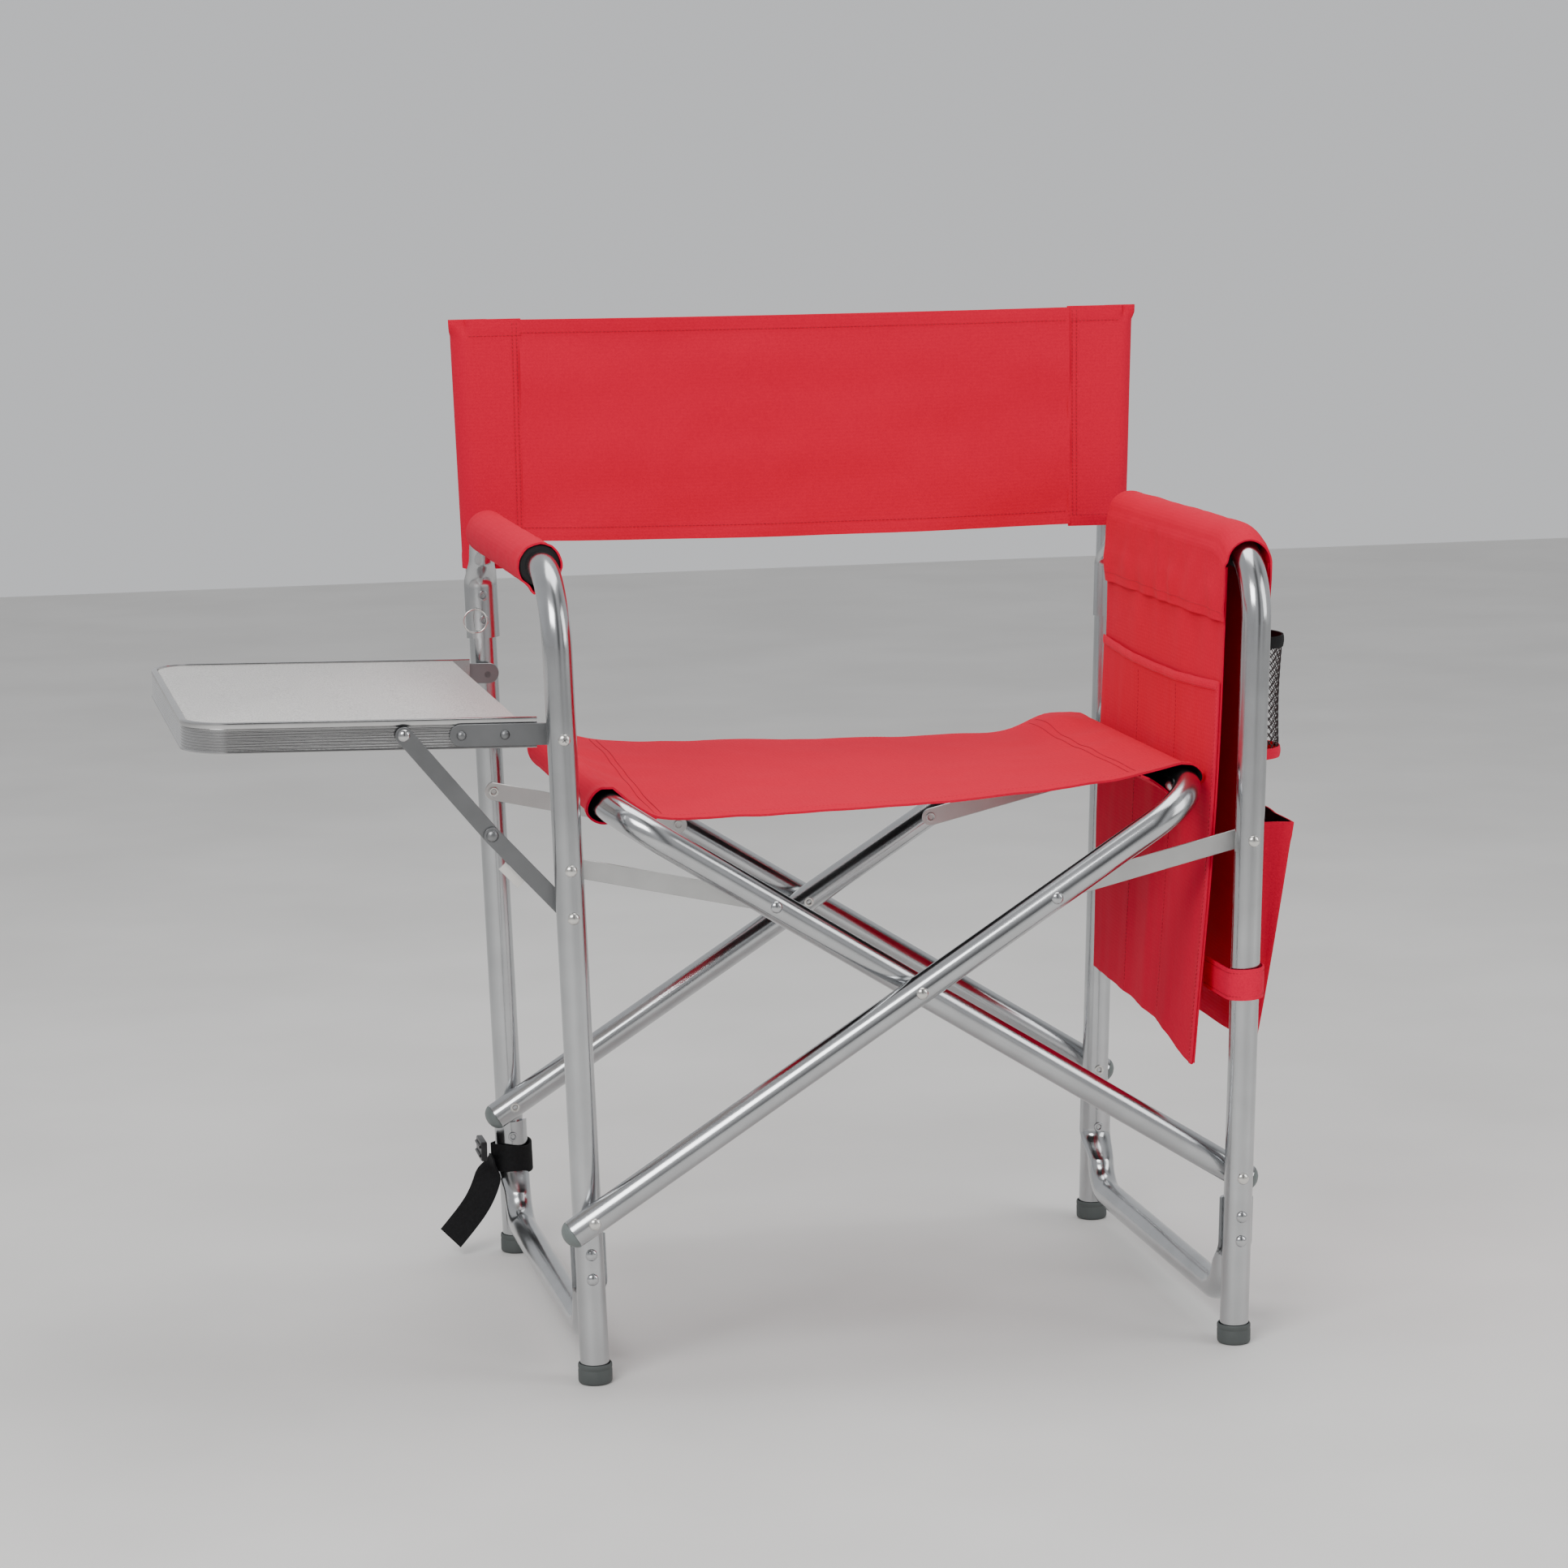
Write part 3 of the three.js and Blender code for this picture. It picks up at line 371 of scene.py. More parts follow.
def piping(solid, points, radius, count=10):
    """A thin round bead along a polyline."""
    points = [Vector(p) for p in points]
    rings = []
    normal = None
    for i, point in enumerate(points):
        way = (points[min(i + 1, len(points) - 1)] - points[max(i - 1, 0)]).normalized()
        if normal is None:
            normal = way.orthogonal().normalized()
        normal = (normal - way * normal.dot(way)).normalized()
        rings.append(circle(point, normal, way.cross(normal), radius, count))
    loft(solid, rings)


# ---------------------------------------------------------------- materials
def new_material(name, color, roughness, metallic=0.0):
    material = bpy.data.materials.new(name)
    material.use_nodes = True
    shader = material.node_tree.nodes["Principled BSDF"]
    shader.inputs["Base Color"].default_value = (*color, 1)
    shader.inputs["Roughness"].default_value = roughness
    shader.inputs["Metallic"].default_value = metallic
    return material, material.node_tree, shader


def node(tree, kind, **values):
    made = tree.nodes.new(kind)
    for key, value in values.items():
        if key in made.inputs:
            made.inputs[key].default_value = value
        else:
            setattr(made, key, value)
    return made


def mapped(tree, output="Object", scale=(1, 1, 1)):
    coordinates = node(tree, "ShaderNodeTexCoord")
    mapping = node(tree, "ShaderNodeMapping", Scale=scale)
    tree.links.new(coordinates.outputs[output], mapping.inputs["Vector"])
    return mapping.outputs["Vector"]


def noise_value(tree, vector, scale, detail=4.0):
    made = node(tree, "ShaderNodeTexNoise", Scale=scale, Detail=detail)
    tree.links.new(vector, made.inputs["Vector"])
    return made.outputs["Fac"]


def ranged(tree, value, low, high, start=0.3, end=0.7):
    made = node(tree, "ShaderNodeMapRange",
                **{"From Min": start, "From Max": end, "To Min": low, "To Max": high})
    tree.links.new(value, made.inputs["Value"])
    return made.outputs["Result"]


def tint(tree, value, one, two, start=0.35, end=0.65):
    ramp = node(tree, "ShaderNodeValToRGB")
    ramp.color_ramp.elements[0].position = start
    ramp.color_ramp.elements[0].color = (*one, 1)
    ramp.color_ramp.elements[1].position = end
    ramp.color_ramp.elements[1].color = (*two, 1)
    tree.links.new(value, ramp.inputs["Fac"])
    return ramp.outputs["Color"]


def bumped(tree, shader, height, strength, distance):
    bump = node(tree, "ShaderNodeBump", Strength=strength, Distance=distance)
    tree.links.new(height, bump.inputs["Height"])
    tree.links.new(bump.outputs["Normal"], shader.inputs["Normal"])


def math_value(tree, operation, *terms):
    """A math node on values and outputs."""
    made = node(tree, "ShaderNodeMath", operation=operation)
    for socket, term in zip(made.inputs, terms):
        if isinstance(term, float):
            socket.default_value = term
        else:
            tree.links.new(term, socket)
    return made.outputs[0]


def metal(name, color, roughness, grain=(900, 900, 40), depth=0.00003):
    """Drawn or rolled metal: streaks along the grain, smudges in the gloss."""
    material, tree, shader = new_material(name, color, roughness, 1.0)
    vector = mapped(tree)
    smudge = noise_value(tree, vector, 14, 5)
    tree.links.new(ranged(tree, smudge, roughness * 0.8, roughness * 1.3), shader.inputs["Roughness"])
    dark = [c * 0.9 for c in color]
    tree.links.new(tint(tree, noise_value(tree, vector, 30, 6), dark, color), shader.inputs["Base Color"])
    bumped(tree, shader, noise_value(tree, mapped(tree, scale=grain), 1.0, 3), 0.25, depth)
    return material


def fabric(name, color, shade=0.93, weave=1250.0, roughness=0.8):
    """Plain weave: two crossed sets of threads, uneven dye and slubs."""
    material, tree, shader = new_material(name, color, roughness)
    shader.inputs["Specular IOR Level"].default_value = 0.16
    vector = mapped(tree, "UV")
    waves = []
    for direction in ("X", "Y"):
        wave = node(tree, "ShaderNodeTexWave", bands_direction=direction, Scale=weave / 6.28 / 2,
                    Distortion=0.6, Detail=2.0, **{"Detail Scale": 2.0})
        tree.links.new(vector, wave.inputs["Vector"])
        waves.append(wave.outputs["Fac"])
    at = mapped(tree)
    slub = noise_value(tree, at, 420, 3)
    height = math_value(tree, "ADD", math_value(tree, "MULTIPLY", *waves), slub)
    mottle = math_value(tree, "MULTIPLY_ADD", noise_value(tree, at, 9, 4), 0.5,
                        ranged(tree, slub, 0.0, 0.5))
    dark = [c * shade for c in color]
    tree.links.new(tint(tree, mottle, dark, color, 0.25, 0.75), shader.inputs["Base Color"])
    bumped(tree, shader, height, 0.35, 0.0003)
    return material


def moulded(name, color, roughness, scale=600.0, strength=0.2, shade=0.85, distance=0.0002):
    """Moulded rubber, plastic or foam: fine grain and a little unevenness in colour and gloss."""
    material, tree, shader = new_material(name, color, roughness)
    vector = mapped(tree)
    cloud = noise_value(tree, vector, 35, 5)
    tree.links.new(tint(tree, cloud, [c * shade for c in color], color), shader.inputs["Base Color"])
    gloss = ranged(tree, cloud, roughness * 0.85, min(1, roughness * 1.1))
    tree.links.new(gloss, shader.inputs["Roughness"])
    bumped(tree, shader, noise_value(tree, vector, scale, 3), strength, distance)
    return material


def speckled(name, color, spot):
    """Laminate with a fine light and dark speckle."""
    material, tree, shader = new_material(name, color, 0.42)
    vector = mapped(tree)
    spots = noise_value(tree, vector, 900, 2)
    tree.links.new(tint(tree, spots, spot, color, 0.40, 0.56), shader.inputs["Base Color"])
    tree.links.new(ranged(tree, noise_value(tree, vector, 12, 4), 0.36, 0.5), shader.inputs["Roughness"])
    bumped(tree, shader, spots, 0.25, 0.0001)
    return material


ALUMINIUM = metal("aluminium_satin", (0.50, 0.51, 0.52), 0.19)
RIM_METAL = metal("aluminium_rim", (0.54, 0.54, 0.54), 0.16, (60, 60, 900))
BAR_METAL = metal("bar_matte", (0.62, 0.62, 0.61), 0.42, (60, 900, 900), 0.00005)
DARK_BAR = metal("bar_dark", (0.24, 0.245, 0.25), 0.36, (60, 900, 900), 0.00005)
STEEL = metal("steel_rivet", (0.70, 0.69, 0.66), 0.22, (500, 500, 500))
RUBBER = moulded("rubber_foot", (0.075, 0.085, 0.083), 0.62, 700, 0.3)
CAP = moulded("cap_plastic", (0.16, 0.185, 0.18), 0.45, 800, 0.12)
FOAM = moulded("foam_black", (0.012, 0.012, 0.013), 0.95, 900, 0.8, 0.7, 0.0006)
CLOTH = fabric("polyester_red", (0.68, 0.0, 0.035))
LINING = fabric("lining_black", (0.012, 0.012, 0.014), 0.7, 1250, 0.9)
BINDING = fabric("binding_red", (0.76, 0.0, 0.045), 0.9, 1800, 0.7)
THREAD = moulded("thread_red", (0.46, 0.0, 0.02), 0.7, 2500, 0.3)
WEBBING = fabric("webbing_black", (0.012, 0.012, 0.013), 0.6, 2600, 0.75)
MESH = moulded("mesh_black", (0.02, 0.02, 0.02), 0.7, 2000, 0.2)
PANEL = speckled("panel_speckled", (0.66, 0.65, 0.63), (0.42, 0.41, 0.40))
BUCKLE = moulded("buckle_black", (0.012, 0.012, 0.013), 0.35, 700, 0.15)


def ready(obj, body, slot, *nodes):
    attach(obj, body)
    if nodes:
        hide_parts(*nodes)
    return obj
def cloth_piece(name, materials, to_chair, rows, thick, body, slot, *nodes, back_slot=0):
    """Builds one cloth shell and readies it."""
    solid = Solid(to_chair)
    cloth(solid, rows, thick, back_slot)
    return ready(solid.build(name, materials, 60), body, slot, *nodes)


def thread_piece(name, to_chair, body, lines):
    """Builds the stitches along each line as one piece and readies it."""
    solid = Solid(to_chair)
    for line in lines:
        stitches(solid, line)
    return ready(solid.build(name, THREAD), body, "cloth")


# ---------------------------------------------------------------- rivets and pins
# (radius, height) of a domed head whose underside is at height 0.
HEAD = [(0, -2.5), (1.6, -2.4), (3.1, -1.95), (4.3, -1.1), (4.95, -0.25), (5.0, 0)]
HEAD_DEPTH = 2.4
SHANK_R = 2.9
COLLAR_DEPTH = 1.2


def rivet_parts(solid, head, way, length, collar=True):
    """A domed head on one face, a shank, and a rolled tubular collar at the far end."""
    profile = HEAD + [(SHANK_R, 0), (SHANK_R, length)]
    if collar:
        profile += [(3.9, length), (4.4, length + 0.45), (4.25, length + 1.0), (3.6, length + 1.2),
                    (2.6, length + 1.0), (2.1, length + 0.4), (1.9, length - 2.4), (0, length - 2.5)]
    else:
        profile += [(0, length)]
    lathe(solid, profile, head, way)


def pin_line(node_name, from_front):
    """The end of a CAD pin that has the head, the way in from it, and the pin's length."""
    low, high = chair_box(node_name)
    middle = (low + high) / 2
    end = Vector((middle.x, low.y if from_front else high.y, middle.z))
    return end, Vector((0, 1 if from_front else -1, 0)), high.y - low.y


def pin(name, body, node_name, from_front):
    """Replaces a coarse CAD pin by a fine one on the same axis."""
    end, way, length = pin_line(node_name, from_front)
    solid = Solid()
    rivet_parts(solid, end + way * HEAD_DEPTH, way, length - HEAD_DEPTH - COLLAR_DEPTH)
    ready(solid.build(name, STEEL), body, "steel", node_name)


for side_name, body_name in (("left", "left_frame"), ("right", "right_frame"), ("cross", "cross_a")):
    for end_name in ("front", "rear"):
        pin(f"rivet_{side_name}_{end_name}", body_name, f"pivot_{side_name}_{end_name}",
            end_name == "front")
for side_name in ("left", "right"):
    for end_name in ("front", "rear"):
        pin(f"strap_rivet_{end_name}_{side_name}", f"{side_name}_frame",
            f"strap_pin_{end_name}_{side_name}", end_name == "front")
pin("stay_rivet", "left_frame", "stay_pin", True)


def table_screw(name, node_name, from_front):
    """A pan-head screw where the table turns on the leg or the post; its cross recess is painted shade, a
    thin dark cross laid on the head.
    """
    end, way, length = pin_line(node_name, from_front)
    solid = Solid()
    rivet_parts(solid, end + way * HEAD_DEPTH, way, length - HEAD_DEPTH, False)
    ready(solid.build(name, STEEL), "left_frame", "steel", node_name)
    # The cross recess is not cut into the head: two thin plates of the dark bar metal lie in its top as
    # painted shade.
    recess_shade = Solid()
    for angle in (0.6, 0.6 + math.pi / 2):
        recess_shade.to_chair = turned_frame(*end, angle)
        plate(recess_shade, [(-2.3, -0.4), (2.3, -0.4), (2.3, 0.4), (-2.3, 0.4)],
              *sorted((-way.y * 0.12, way.y * 0.5)), 0.08)
    ready(recess_shade.build(name + "_recess", DARK_BAR), "left_frame", "steel")


table_screw("table_screw_head_front", "table_screw_front", True)
table_screw("table_screw_head_rear", "table_screw_rear", False)

# ---------------------------------------------------------------- side frames
SADDLE_SPAN = math.radians(75)
ARM_REAR_BEND = 40.0
POST_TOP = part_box("rear_post_left")[1].z * 1000
TUBE_FOOT = 4.1
REAR_LEG = DEPTH - RIDE
STRETCHER_TOP = 124
STRETCHER_LOW = 35
STRETCHER_BEND = 32
CIRCLE = circle_ring(TUBE_R)
SADDLE = crescent_ring(RIDE, FACE, SADDLE_R, SADDLE_SPAN)


def along_leg(height):
    return height / math.cos(SPLAY)


def morph(amount, crescent):
    return [(mix(a[0], b[0], amount), mix(a[1], b[1], amount)) for a, b in zip(CIRCLE, crescent)]


def tube(kind, side, tag, stations, ring_of, rivets=()):
    """One tube of a side frame and its rivets, each group (post's y, facing, heights)."""
    solid = Solid(side_frame(side))
    sweep(solid, stations, (1, 0, 0), ring_of)
    for post_y, facing, heights in rivets:
        for height in heights:
            head = (0, post_y - facing * FACE, along_leg(height))
            rivet_parts(solid, head, (0, facing, 0), FACE + SADDLE_R)
    ready(solid.build(f"tube_{kind}_{tag}", ALUMINIUM), f"{tag}_frame", "aluminium", f"{kind}_{tag}")


def leg_and_arm(side, tag):
    """The front leg runs on as the arm, and its tail is pressed to a saddle on the rear post."""
    corners = [(0, 0, TUBE_FOOT), (0, 0, ARM_HEIGHT), (0, REAR_LEG, ARM_HEIGHT), (0, REAR_LEG, 568)]
    stations = bent_path(corners, [ARM_BEND, ARM_REAR_BEND], 18, 30)
    tail = [(Vector((0, REAR_LEG, z)), Vector((0, 0, -1)))
            for z in [626 - 2.5 * k for k in range(9)] + [596, 582, 570, 568]]
    stations = [s for s in stations if not (s[0].y > REAR_LEG - 0.01 and s[0].z < 628)] + tail

    def ring_of(point):
        if point.y < REAR_LEG - 30:
            return CIRCLE
        return morph(smooth((642 - point.z) / 26), SADDLE)

    tube("leg_arm", side, tag, stations, ring_of, [(DEPTH, -1, [606, 584])])


def stretcher(side, tag):
    """A low U from leg to post; both ends are pressed to saddles that face outwards."""
    corners = [(0, RIDE, STRETCHER_TOP), (0, RIDE, STRETCHER_LOW),
               (0, REAR_LEG, STRETCHER_LOW), (0, REAR_LEG, STRETCHER_TOP)]
    middle = [s for s in bent_path(corners, [STRETCHER_BEND] * 2, 14, 40) if s[0].z <= 67.01]
    heights = [STRETCHER_TOP, 122, 110, 98, 90] + [88 - 2.5 * k for k in range(9)]
    front = [(Vector((0, RIDE, z)), Vector((0, 0, -1))) for z in heights]
    back = [(Vector((0, REAR_LEG, z)), Vector((0, 0, 1))) for z in heights[::-1]]
    outwards = [(-SADDLE[(16 - k) % 32][0], SADDLE[(16 - k) % 32][1]) for k in range(32)]
    tube("stretcher", side, tag, front + middle + back,
         lambda p: morph(smooth((p.z - 60) / 26), outwards),
         [(0, 1, [110.6, 89.9]), (DEPTH, -1, [110.6, 89.9])])


for side, tag in ((-1, "left"), (1, "right")):
    leg_and_arm(side, tag)
    post = bent_path([(0, DEPTH, TUBE_FOOT), (0, DEPTH, along_leg(POST_TOP))], [], 1, 40)
    tube("rear_post", side, tag, post, lambda p: CIRCLE)
    stretcher(side, tag)

FOOT = [(0, 0), (11.8, 0), (13.0, 0.4), (13.8, 1.3), (14.1, 2.6), (14.15, 11.5), (13.8, 12.1),
        (13.8, 12.7), (14.15, 13.3), (14.1, 15.9), (13.7, 16.7), (13.1, 17.0), (12.65, 16.7),
        (12.6, 3.5), (0, 3.5)]
for tag in ("left", "right"):
    for end_name in ("front", "rear"):
        spot = (centre(f"foot_{end_name}_{tag}") - ORIGIN) * 1000
        solid = Solid()
        lathe(solid, FOOT, (spot.x, spot.y, 0), (0, 0, 1), 40)
        ready(solid.build(f"rubber_foot_{end_name}_{tag}", RUBBER), f"{tag}_frame", "rubber",
              f"foot_{end_name}_{tag}")

# ---------------------------------------------------------------- cross tubes
CAP_PROFILE = [(0, 9), (2.5, 8.8), (5.4, 8.0), (8.2, 6.4), (10.3, 4.2), (11.6, 1.8), (12.0, 0.4),
               (11.9, 0), (10.0, 0), (10.0, -8), (0, -8)]


CROSS_TAIL = 18.5


def cross_tube(letter, to_chair):
    """A U of tube whose two ends point down, with a stud for a strap bar and a cap at each end."""
    corners = [(-CROSS_TAIL, 0, 0), (RAIL_REACH, 0, 0), (RAIL_REACH, DEPTH, 0), (-CROSS_TAIL, DEPTH, 0)]
    solid = Solid(to_chair)
    sweep(solid, bent_path(corners, [RAIL_BEND, RAIL_BEND], 18, 40), (0, 0, 1), lambda p: CIRCLE)
    stud = 2 * TUBE_R - 0.8
    rivet_parts(solid, (STRAP_REACH, -TUBE_R + 0.3, 0), (0, 1, 0), stud, False)
    rivet_parts(solid, (STRAP_REACH, DEPTH + TUBE_R - 0.3, 0), (0, -1, 0), stud, False)
    ready(solid.build(f"tube_cross_{letter}", ALUMINIUM), f"cross_{letter}", "aluminium",
          f"cross_tube_{letter}")
    for end_name, y in (("front", 0), ("rear", DEPTH)):
        cap = Solid(to_chair)
        lathe(cap, CAP_PROFILE, (-CROSS_TAIL - 0.3, y, 0), (-1, 0, 0), 36)
        ready(cap.build(f"cap_{letter}_{end_name}", CAP), f"cross_{letter}", "cap",
              f"end_cap_{letter}_{end_name}")


cross_tube("a", CROSS_A)
cross_tube("b", CROSS_B)

# ---------------------------------------------------------------- strap bars
BAR_THICK = 2
BAR_COLLAR = [(0, 0.2), (2.2, 0.3), (2.6, 0.9), (3.6, 1.2), (4.3, 1.0), (4.4, 0.4), (4.2, -0.1),
              (0, -0.1)]
for side, tag in ((-1, "left"), (1, "right")):
    frame_y = -STAGGER if side > 0 else 0.0
    x0 = side * leg_x(STRAP_HEIGHT)
    x1 = side * (STRAP_REACH * math.cos(CROSS_ANGLE) - PIVOT_X)
    z1 = PIVOT_HEIGHT + STRAP_REACH * math.sin(CROSS_ANGLE)
    angle = math.atan2(z1 - STRAP_HEIGHT, x1 - x0)
    length = math.hypot(z1 - STRAP_HEIGHT, x1 - x0)
    for end_name, face, way in (("front", frame_y + FACE, 1),
                                ("rear", frame_y + DEPTH - FACE - BAR_THICK, -1)):
        solid = Solid(turned_frame(x0, 0, STRAP_HEIGHT, angle))
        plate(solid, link_outline(length, 16), face, face + BAR_THICK)
        lathe(solid, BAR_COLLAR, (length, face + (BAR_THICK if way > 0 else 0), 0), (0, way, 0))
        ready(solid.build(f"bar_{end_name}_{tag}", BAR_METAL), f"straps_{tag}", "bar",
              f"strap_{end_name}_{tag}")

# ---------------------------------------------------------------- side table
BRACKET_FACE = FACE + 2 * 2.3
RIM_FACE = FACE + 3 * 2.3
RIM_DEPTH = DEPTH - 2 * RIM_FACE
RIM_LIFT = 2.4
RIM_HALF = 12.5
RIM_REACH = 300
RIM_CORNER = 36
RIM_STUD = 125


def rim_profile():
    """Section of the rim: u points inwards, v up. The outside has a top bead and fine ribs."""
    outside = [(-1.0, 12.5), (-1.9, 12.1), (-2.5, 11.3), (-2.5, 8.4), (-2.2, 7.7), (-1.5, 7.3)]
    v = 7.0
    while v > -9.5:
        outside += [(-1.35, v), (-1.95, v - 0.55), (-1.95, v - 1.35), (-1.35, v - 1.9)]
        v -= 2.35
    outside += [(-1.4, -9.8), (-2.4, -10.3), (-2.5, -11.6), (-1.9, -12.3), (-1.2, -12.5)]
    inside = [(1.9, -12.5), (2.5, -12.0), (2.5, 11.6), (2.1, 12.3), (1.2, 12.5)]
    return outside + inside


def rim_path(inset, start):
    """Stations from the front arm's end round the outer corners to the rear arm's end."""
    near, far = RIM_FACE + inset, RIM_FACE + RIM_DEPTH - inset
    reach = RIM_REACH - inset
    corners = [(-start, near, 0), (-reach, near, 0), (-reach, far, 0), (-start, far, 0)]
    return bent_path(corners, [RIM_CORNER - inset] * 2, 16, 80)


solid = Solid(TABLE)
profile = rim_profile()
stations = [(Vector((p.x, p.y, RIM_LIFT)), way) for p, way in rim_path(2.5, 17)]
sweep(solid, stations, (0, 0, 1), lambda p: profile)
rivet_parts(solid, (-RIM_STUD, FACE + 2.0, RIM_LIFT), (0, 1, 0), 5.4, False)
ready(solid.build("rim_ribbed", RIM_METAL, 25), "table", "aluminium", "table_rim")

solid = Solid(TABLE)
top = RIM_LIFT + RIM_HALF - 1.5
rings = []
for inset, height in ((6.1, top - 6), (5.3, top - 5.2), (5.3, top - 0.8), (5.6, top - 0.25), (6.1, top)):
    rings.append([Vector((p.x, p.y, height)) for p, way in rim_path(inset, 32 + (inset - 5.3))])
loft(solid, rings)
ready(solid.build("panel_top", PANEL), "table", "panel", "table_panel")

SMALL_HEAD = [(r * 0.8, h) for r, h in HEAD] + [(2.3, 0), (2.3, 1.0), (0, 1.0)]
for end_name, face, way in (("front", BRACKET_FACE, 1), ("rear", DEPTH - BRACKET_FACE - BAR_THICK, -1)):
    solid = Solid(TABLE)
    outline = [(x - 79, z + RIM_LIFT / 2) for x, z in link_outline(80, 18)]
    plate(solid, outline, face, face + BAR_THICK)
    outside = face if way > 0 else face + BAR_THICK
    for reach in (43.3, 78.5):
        lathe(solid, SMALL_HEAD, (-reach, outside, RIM_LIFT / 2), (0, way, 0))
    ready(solid.build(f"bracket_{end_name}", DARK_BAR), "table", "bar", f"table_bracket_{end_name}")

# The stay: lower link on the leg, upper link on the rim, a lock tab near their joint.
LOWER = turned_frame(-leg_x(STAY_HEIGHT), 0, STAY_HEIGHT, STAY_ANGLE)
LINK_WIDTH = 14
solid = Solid(LOWER)
plate(solid, link_outline(STAY_LINK, LINK_WIDTH), FACE, FACE + BAR_THICK)
lathe(solid, HEAD + [(SHANK_R, 0), (SHANK_R, 4.5), (3.9, 4.6), (3.7, 5.4), (2.4, 5.5), (0, 5.2)],
      (STAY_LINK, FACE, 0), (0, 1, 0))
ready(solid.build("link_lower", DARK_BAR), "stay_lower", "bar", "stay_lower")
solid = Solid(LOWER)
tab_x = STAY_LINK * 0.62
section = [(0, 7.4), (0, 14.2), (0.5, 15.0), (1.3, 15.2), (3.2, 15.2), (3.9, 14.8), (3.9, 13.9),
           (1.9, 13.6), (1.4, 13.2), (1.4, 7.4)]
loft(solid, [[Vector((tab_x + dx, FACE + y, z)) for y, z in section] for dx in (-11, -10.6, 10.6, 11)])
ready(solid.build("lock_tab", STEEL), "stay_lower", "steel", "stay_lock_tab")
rim_pin = TABLE((-RIM_STUD, 0, RIM_LIFT))
mid = LOWER((STAY_LINK, 0, 0))
upper_length = math.hypot(mid.x - rim_pin.x, mid.z - rim_pin.z)
solid = Solid(turned_frame(rim_pin.x, 0, rim_pin.z, math.atan2(mid.z - rim_pin.z, mid.x - rim_pin.x)))
plate(solid, link_outline(upper_length, LINK_WIDTH), FACE + 2.3, FACE + 4.3)
near, far = 16, upper_length - 14
for edge in (-1, 1):
    lip = [(near, edge * 7.0), (far, edge * 7.0), (far, edge * 5.8), (near, edge * 5.8)]
    plate(solid, lip[::edge], FACE + 3.4, FACE + 6.2, 0.2)
ready(solid.build("link_upper", DARK_BAR), "stay_upper", "bar", "stay_upper")


# ---------------------------------------------------------------- arm pads
def arm_axis(y):
    """Height of the arm tube's axis in its frame, at a distance behind the leg."""
    if y >= ARM_BEND:
        return ARM_HEIGHT
    return ARM_HEIGHT - ARM_BEND + math.sqrt(max(0.0, ARM_BEND ** 2 - (ARM_BEND - y) ** 2))


PAD_END = REAR_LEG - ARM_REAR_BEND - 2
PAD_R = 17.0


def foam_pad(name, side, body, start, node_name):
    """A foam sleeve on the arm, with eased ends."""
    end = [(12.4, 0), (15.4, 0), (16.7, 0.8), (PAD_R, 2.2)]
    steps = 22
    rings = [(r, start + dy) for r, dy in end]
    rings += [(PAD_R, mix(start + 2.2, PAD_END - 2.2, i / steps)) for i in range(1, steps)]
    rings += [(r, PAD_END - dy) for r, dy in end[::-1]]
    solid = Solid(side_frame(side))
    loft(solid, [circle(Vector((0, y, arm_axis(y))), Vector((1, 0, 0)), Vector((0, 0, 1)), r, 36)
                 for r, y in rings])
    obj = solid.build(name, FOAM)
    return ready(obj, body, "foam", node_name)


foam_pad("foam_left", -1, "left_frame", 68.2, "arm_foam_left")
foam_pad("foam_right", 1, "right_frame", 44.0, "arm_foam_right")


def crumple(point, size, scale, seed):
    return noise.noise(Vector(point) / scale + Vector((seed, seed * 0.7, -seed))) * size


def left_cover():
    """Cloth wrapped round the pad, closed along the bottom by a seam that hangs a little."""
    rows = []
    steps, count = 70, 72
    for i in range(steps + 1):
        y = mix(66.5, PAD_END + 1, i / steps)
        droop = 3.6 * smooth((120 - y) / 60) + 1.6
        row = []
        for k in range(count + 1):
            a = -math.pi / 2 - 0.25 + 2 * math.pi * k / count
            r = 18.2 + droop * bell(min(k, count - k) / count, 0, 0.028)
            fold = crumple((math.cos(a) * 18, y, math.sin(a) * 18), 0.9, 16, 3.1)
            fold += crumple((math.cos(a) * 30, y * 0.35, math.sin(a) * 30), 0.6, 7, 9.2)
            r += fold * (0.4 + 0.6 * bell(y, 75, 60))
            row.append(Vector((r * math.cos(a), y, ARM_HEIGHT + r * math.sin(a))))
        rows.append(row)
    obj = cloth_piece("cover_left", CLOTH, LEFT, rows,
                      lambda s, t: 1.6 if s < 0.04 or s > 0.96 else 0.8,
                      "left_frame", "cloth", "arm_cover_left")
    thread_piece("stitch_cover_left", LEFT, "left_frame",
                 [moved([row[k] for row in rows[::2]], push, 0, -0.2)
                  for k, push in ((count - 2, 0.25), (2, -0.25))])


left_cover()

# ---------------------------------------------------------------- seat sling
SEAT_R = 14.4
WRAP_START, WRAP_END = math.radians(76.5), math.radians(-96)
MEET = RAIL_X - SEAT_R * math.cos(WRAP_START)
EDGE_Z = RAIL_Z + SEAT_R * math.sin(WRAP_START)
SLEEVE_SEAM = 203.0
UNDER_ROWS = 10
# The sag of the front and rear edges: (share of the half width, height).
FRONT_EDGE = [(-1.0, 0), (-0.93, -13), (-0.84, -23.5), (-0.5, -22.5), (-0.05, -20), (0.34, -15),
              (0.73, -7.5), (0.9, -3), (1.0, 0)]
REAR_EDGE = [(-1.0, 0), (-0.83, -8), (-0.42, -12), (0, -14), (0.53, -15.5), (0.75, -13.5),
             (0.86, -5), (0.93, -1.5), (1.0, 0)]


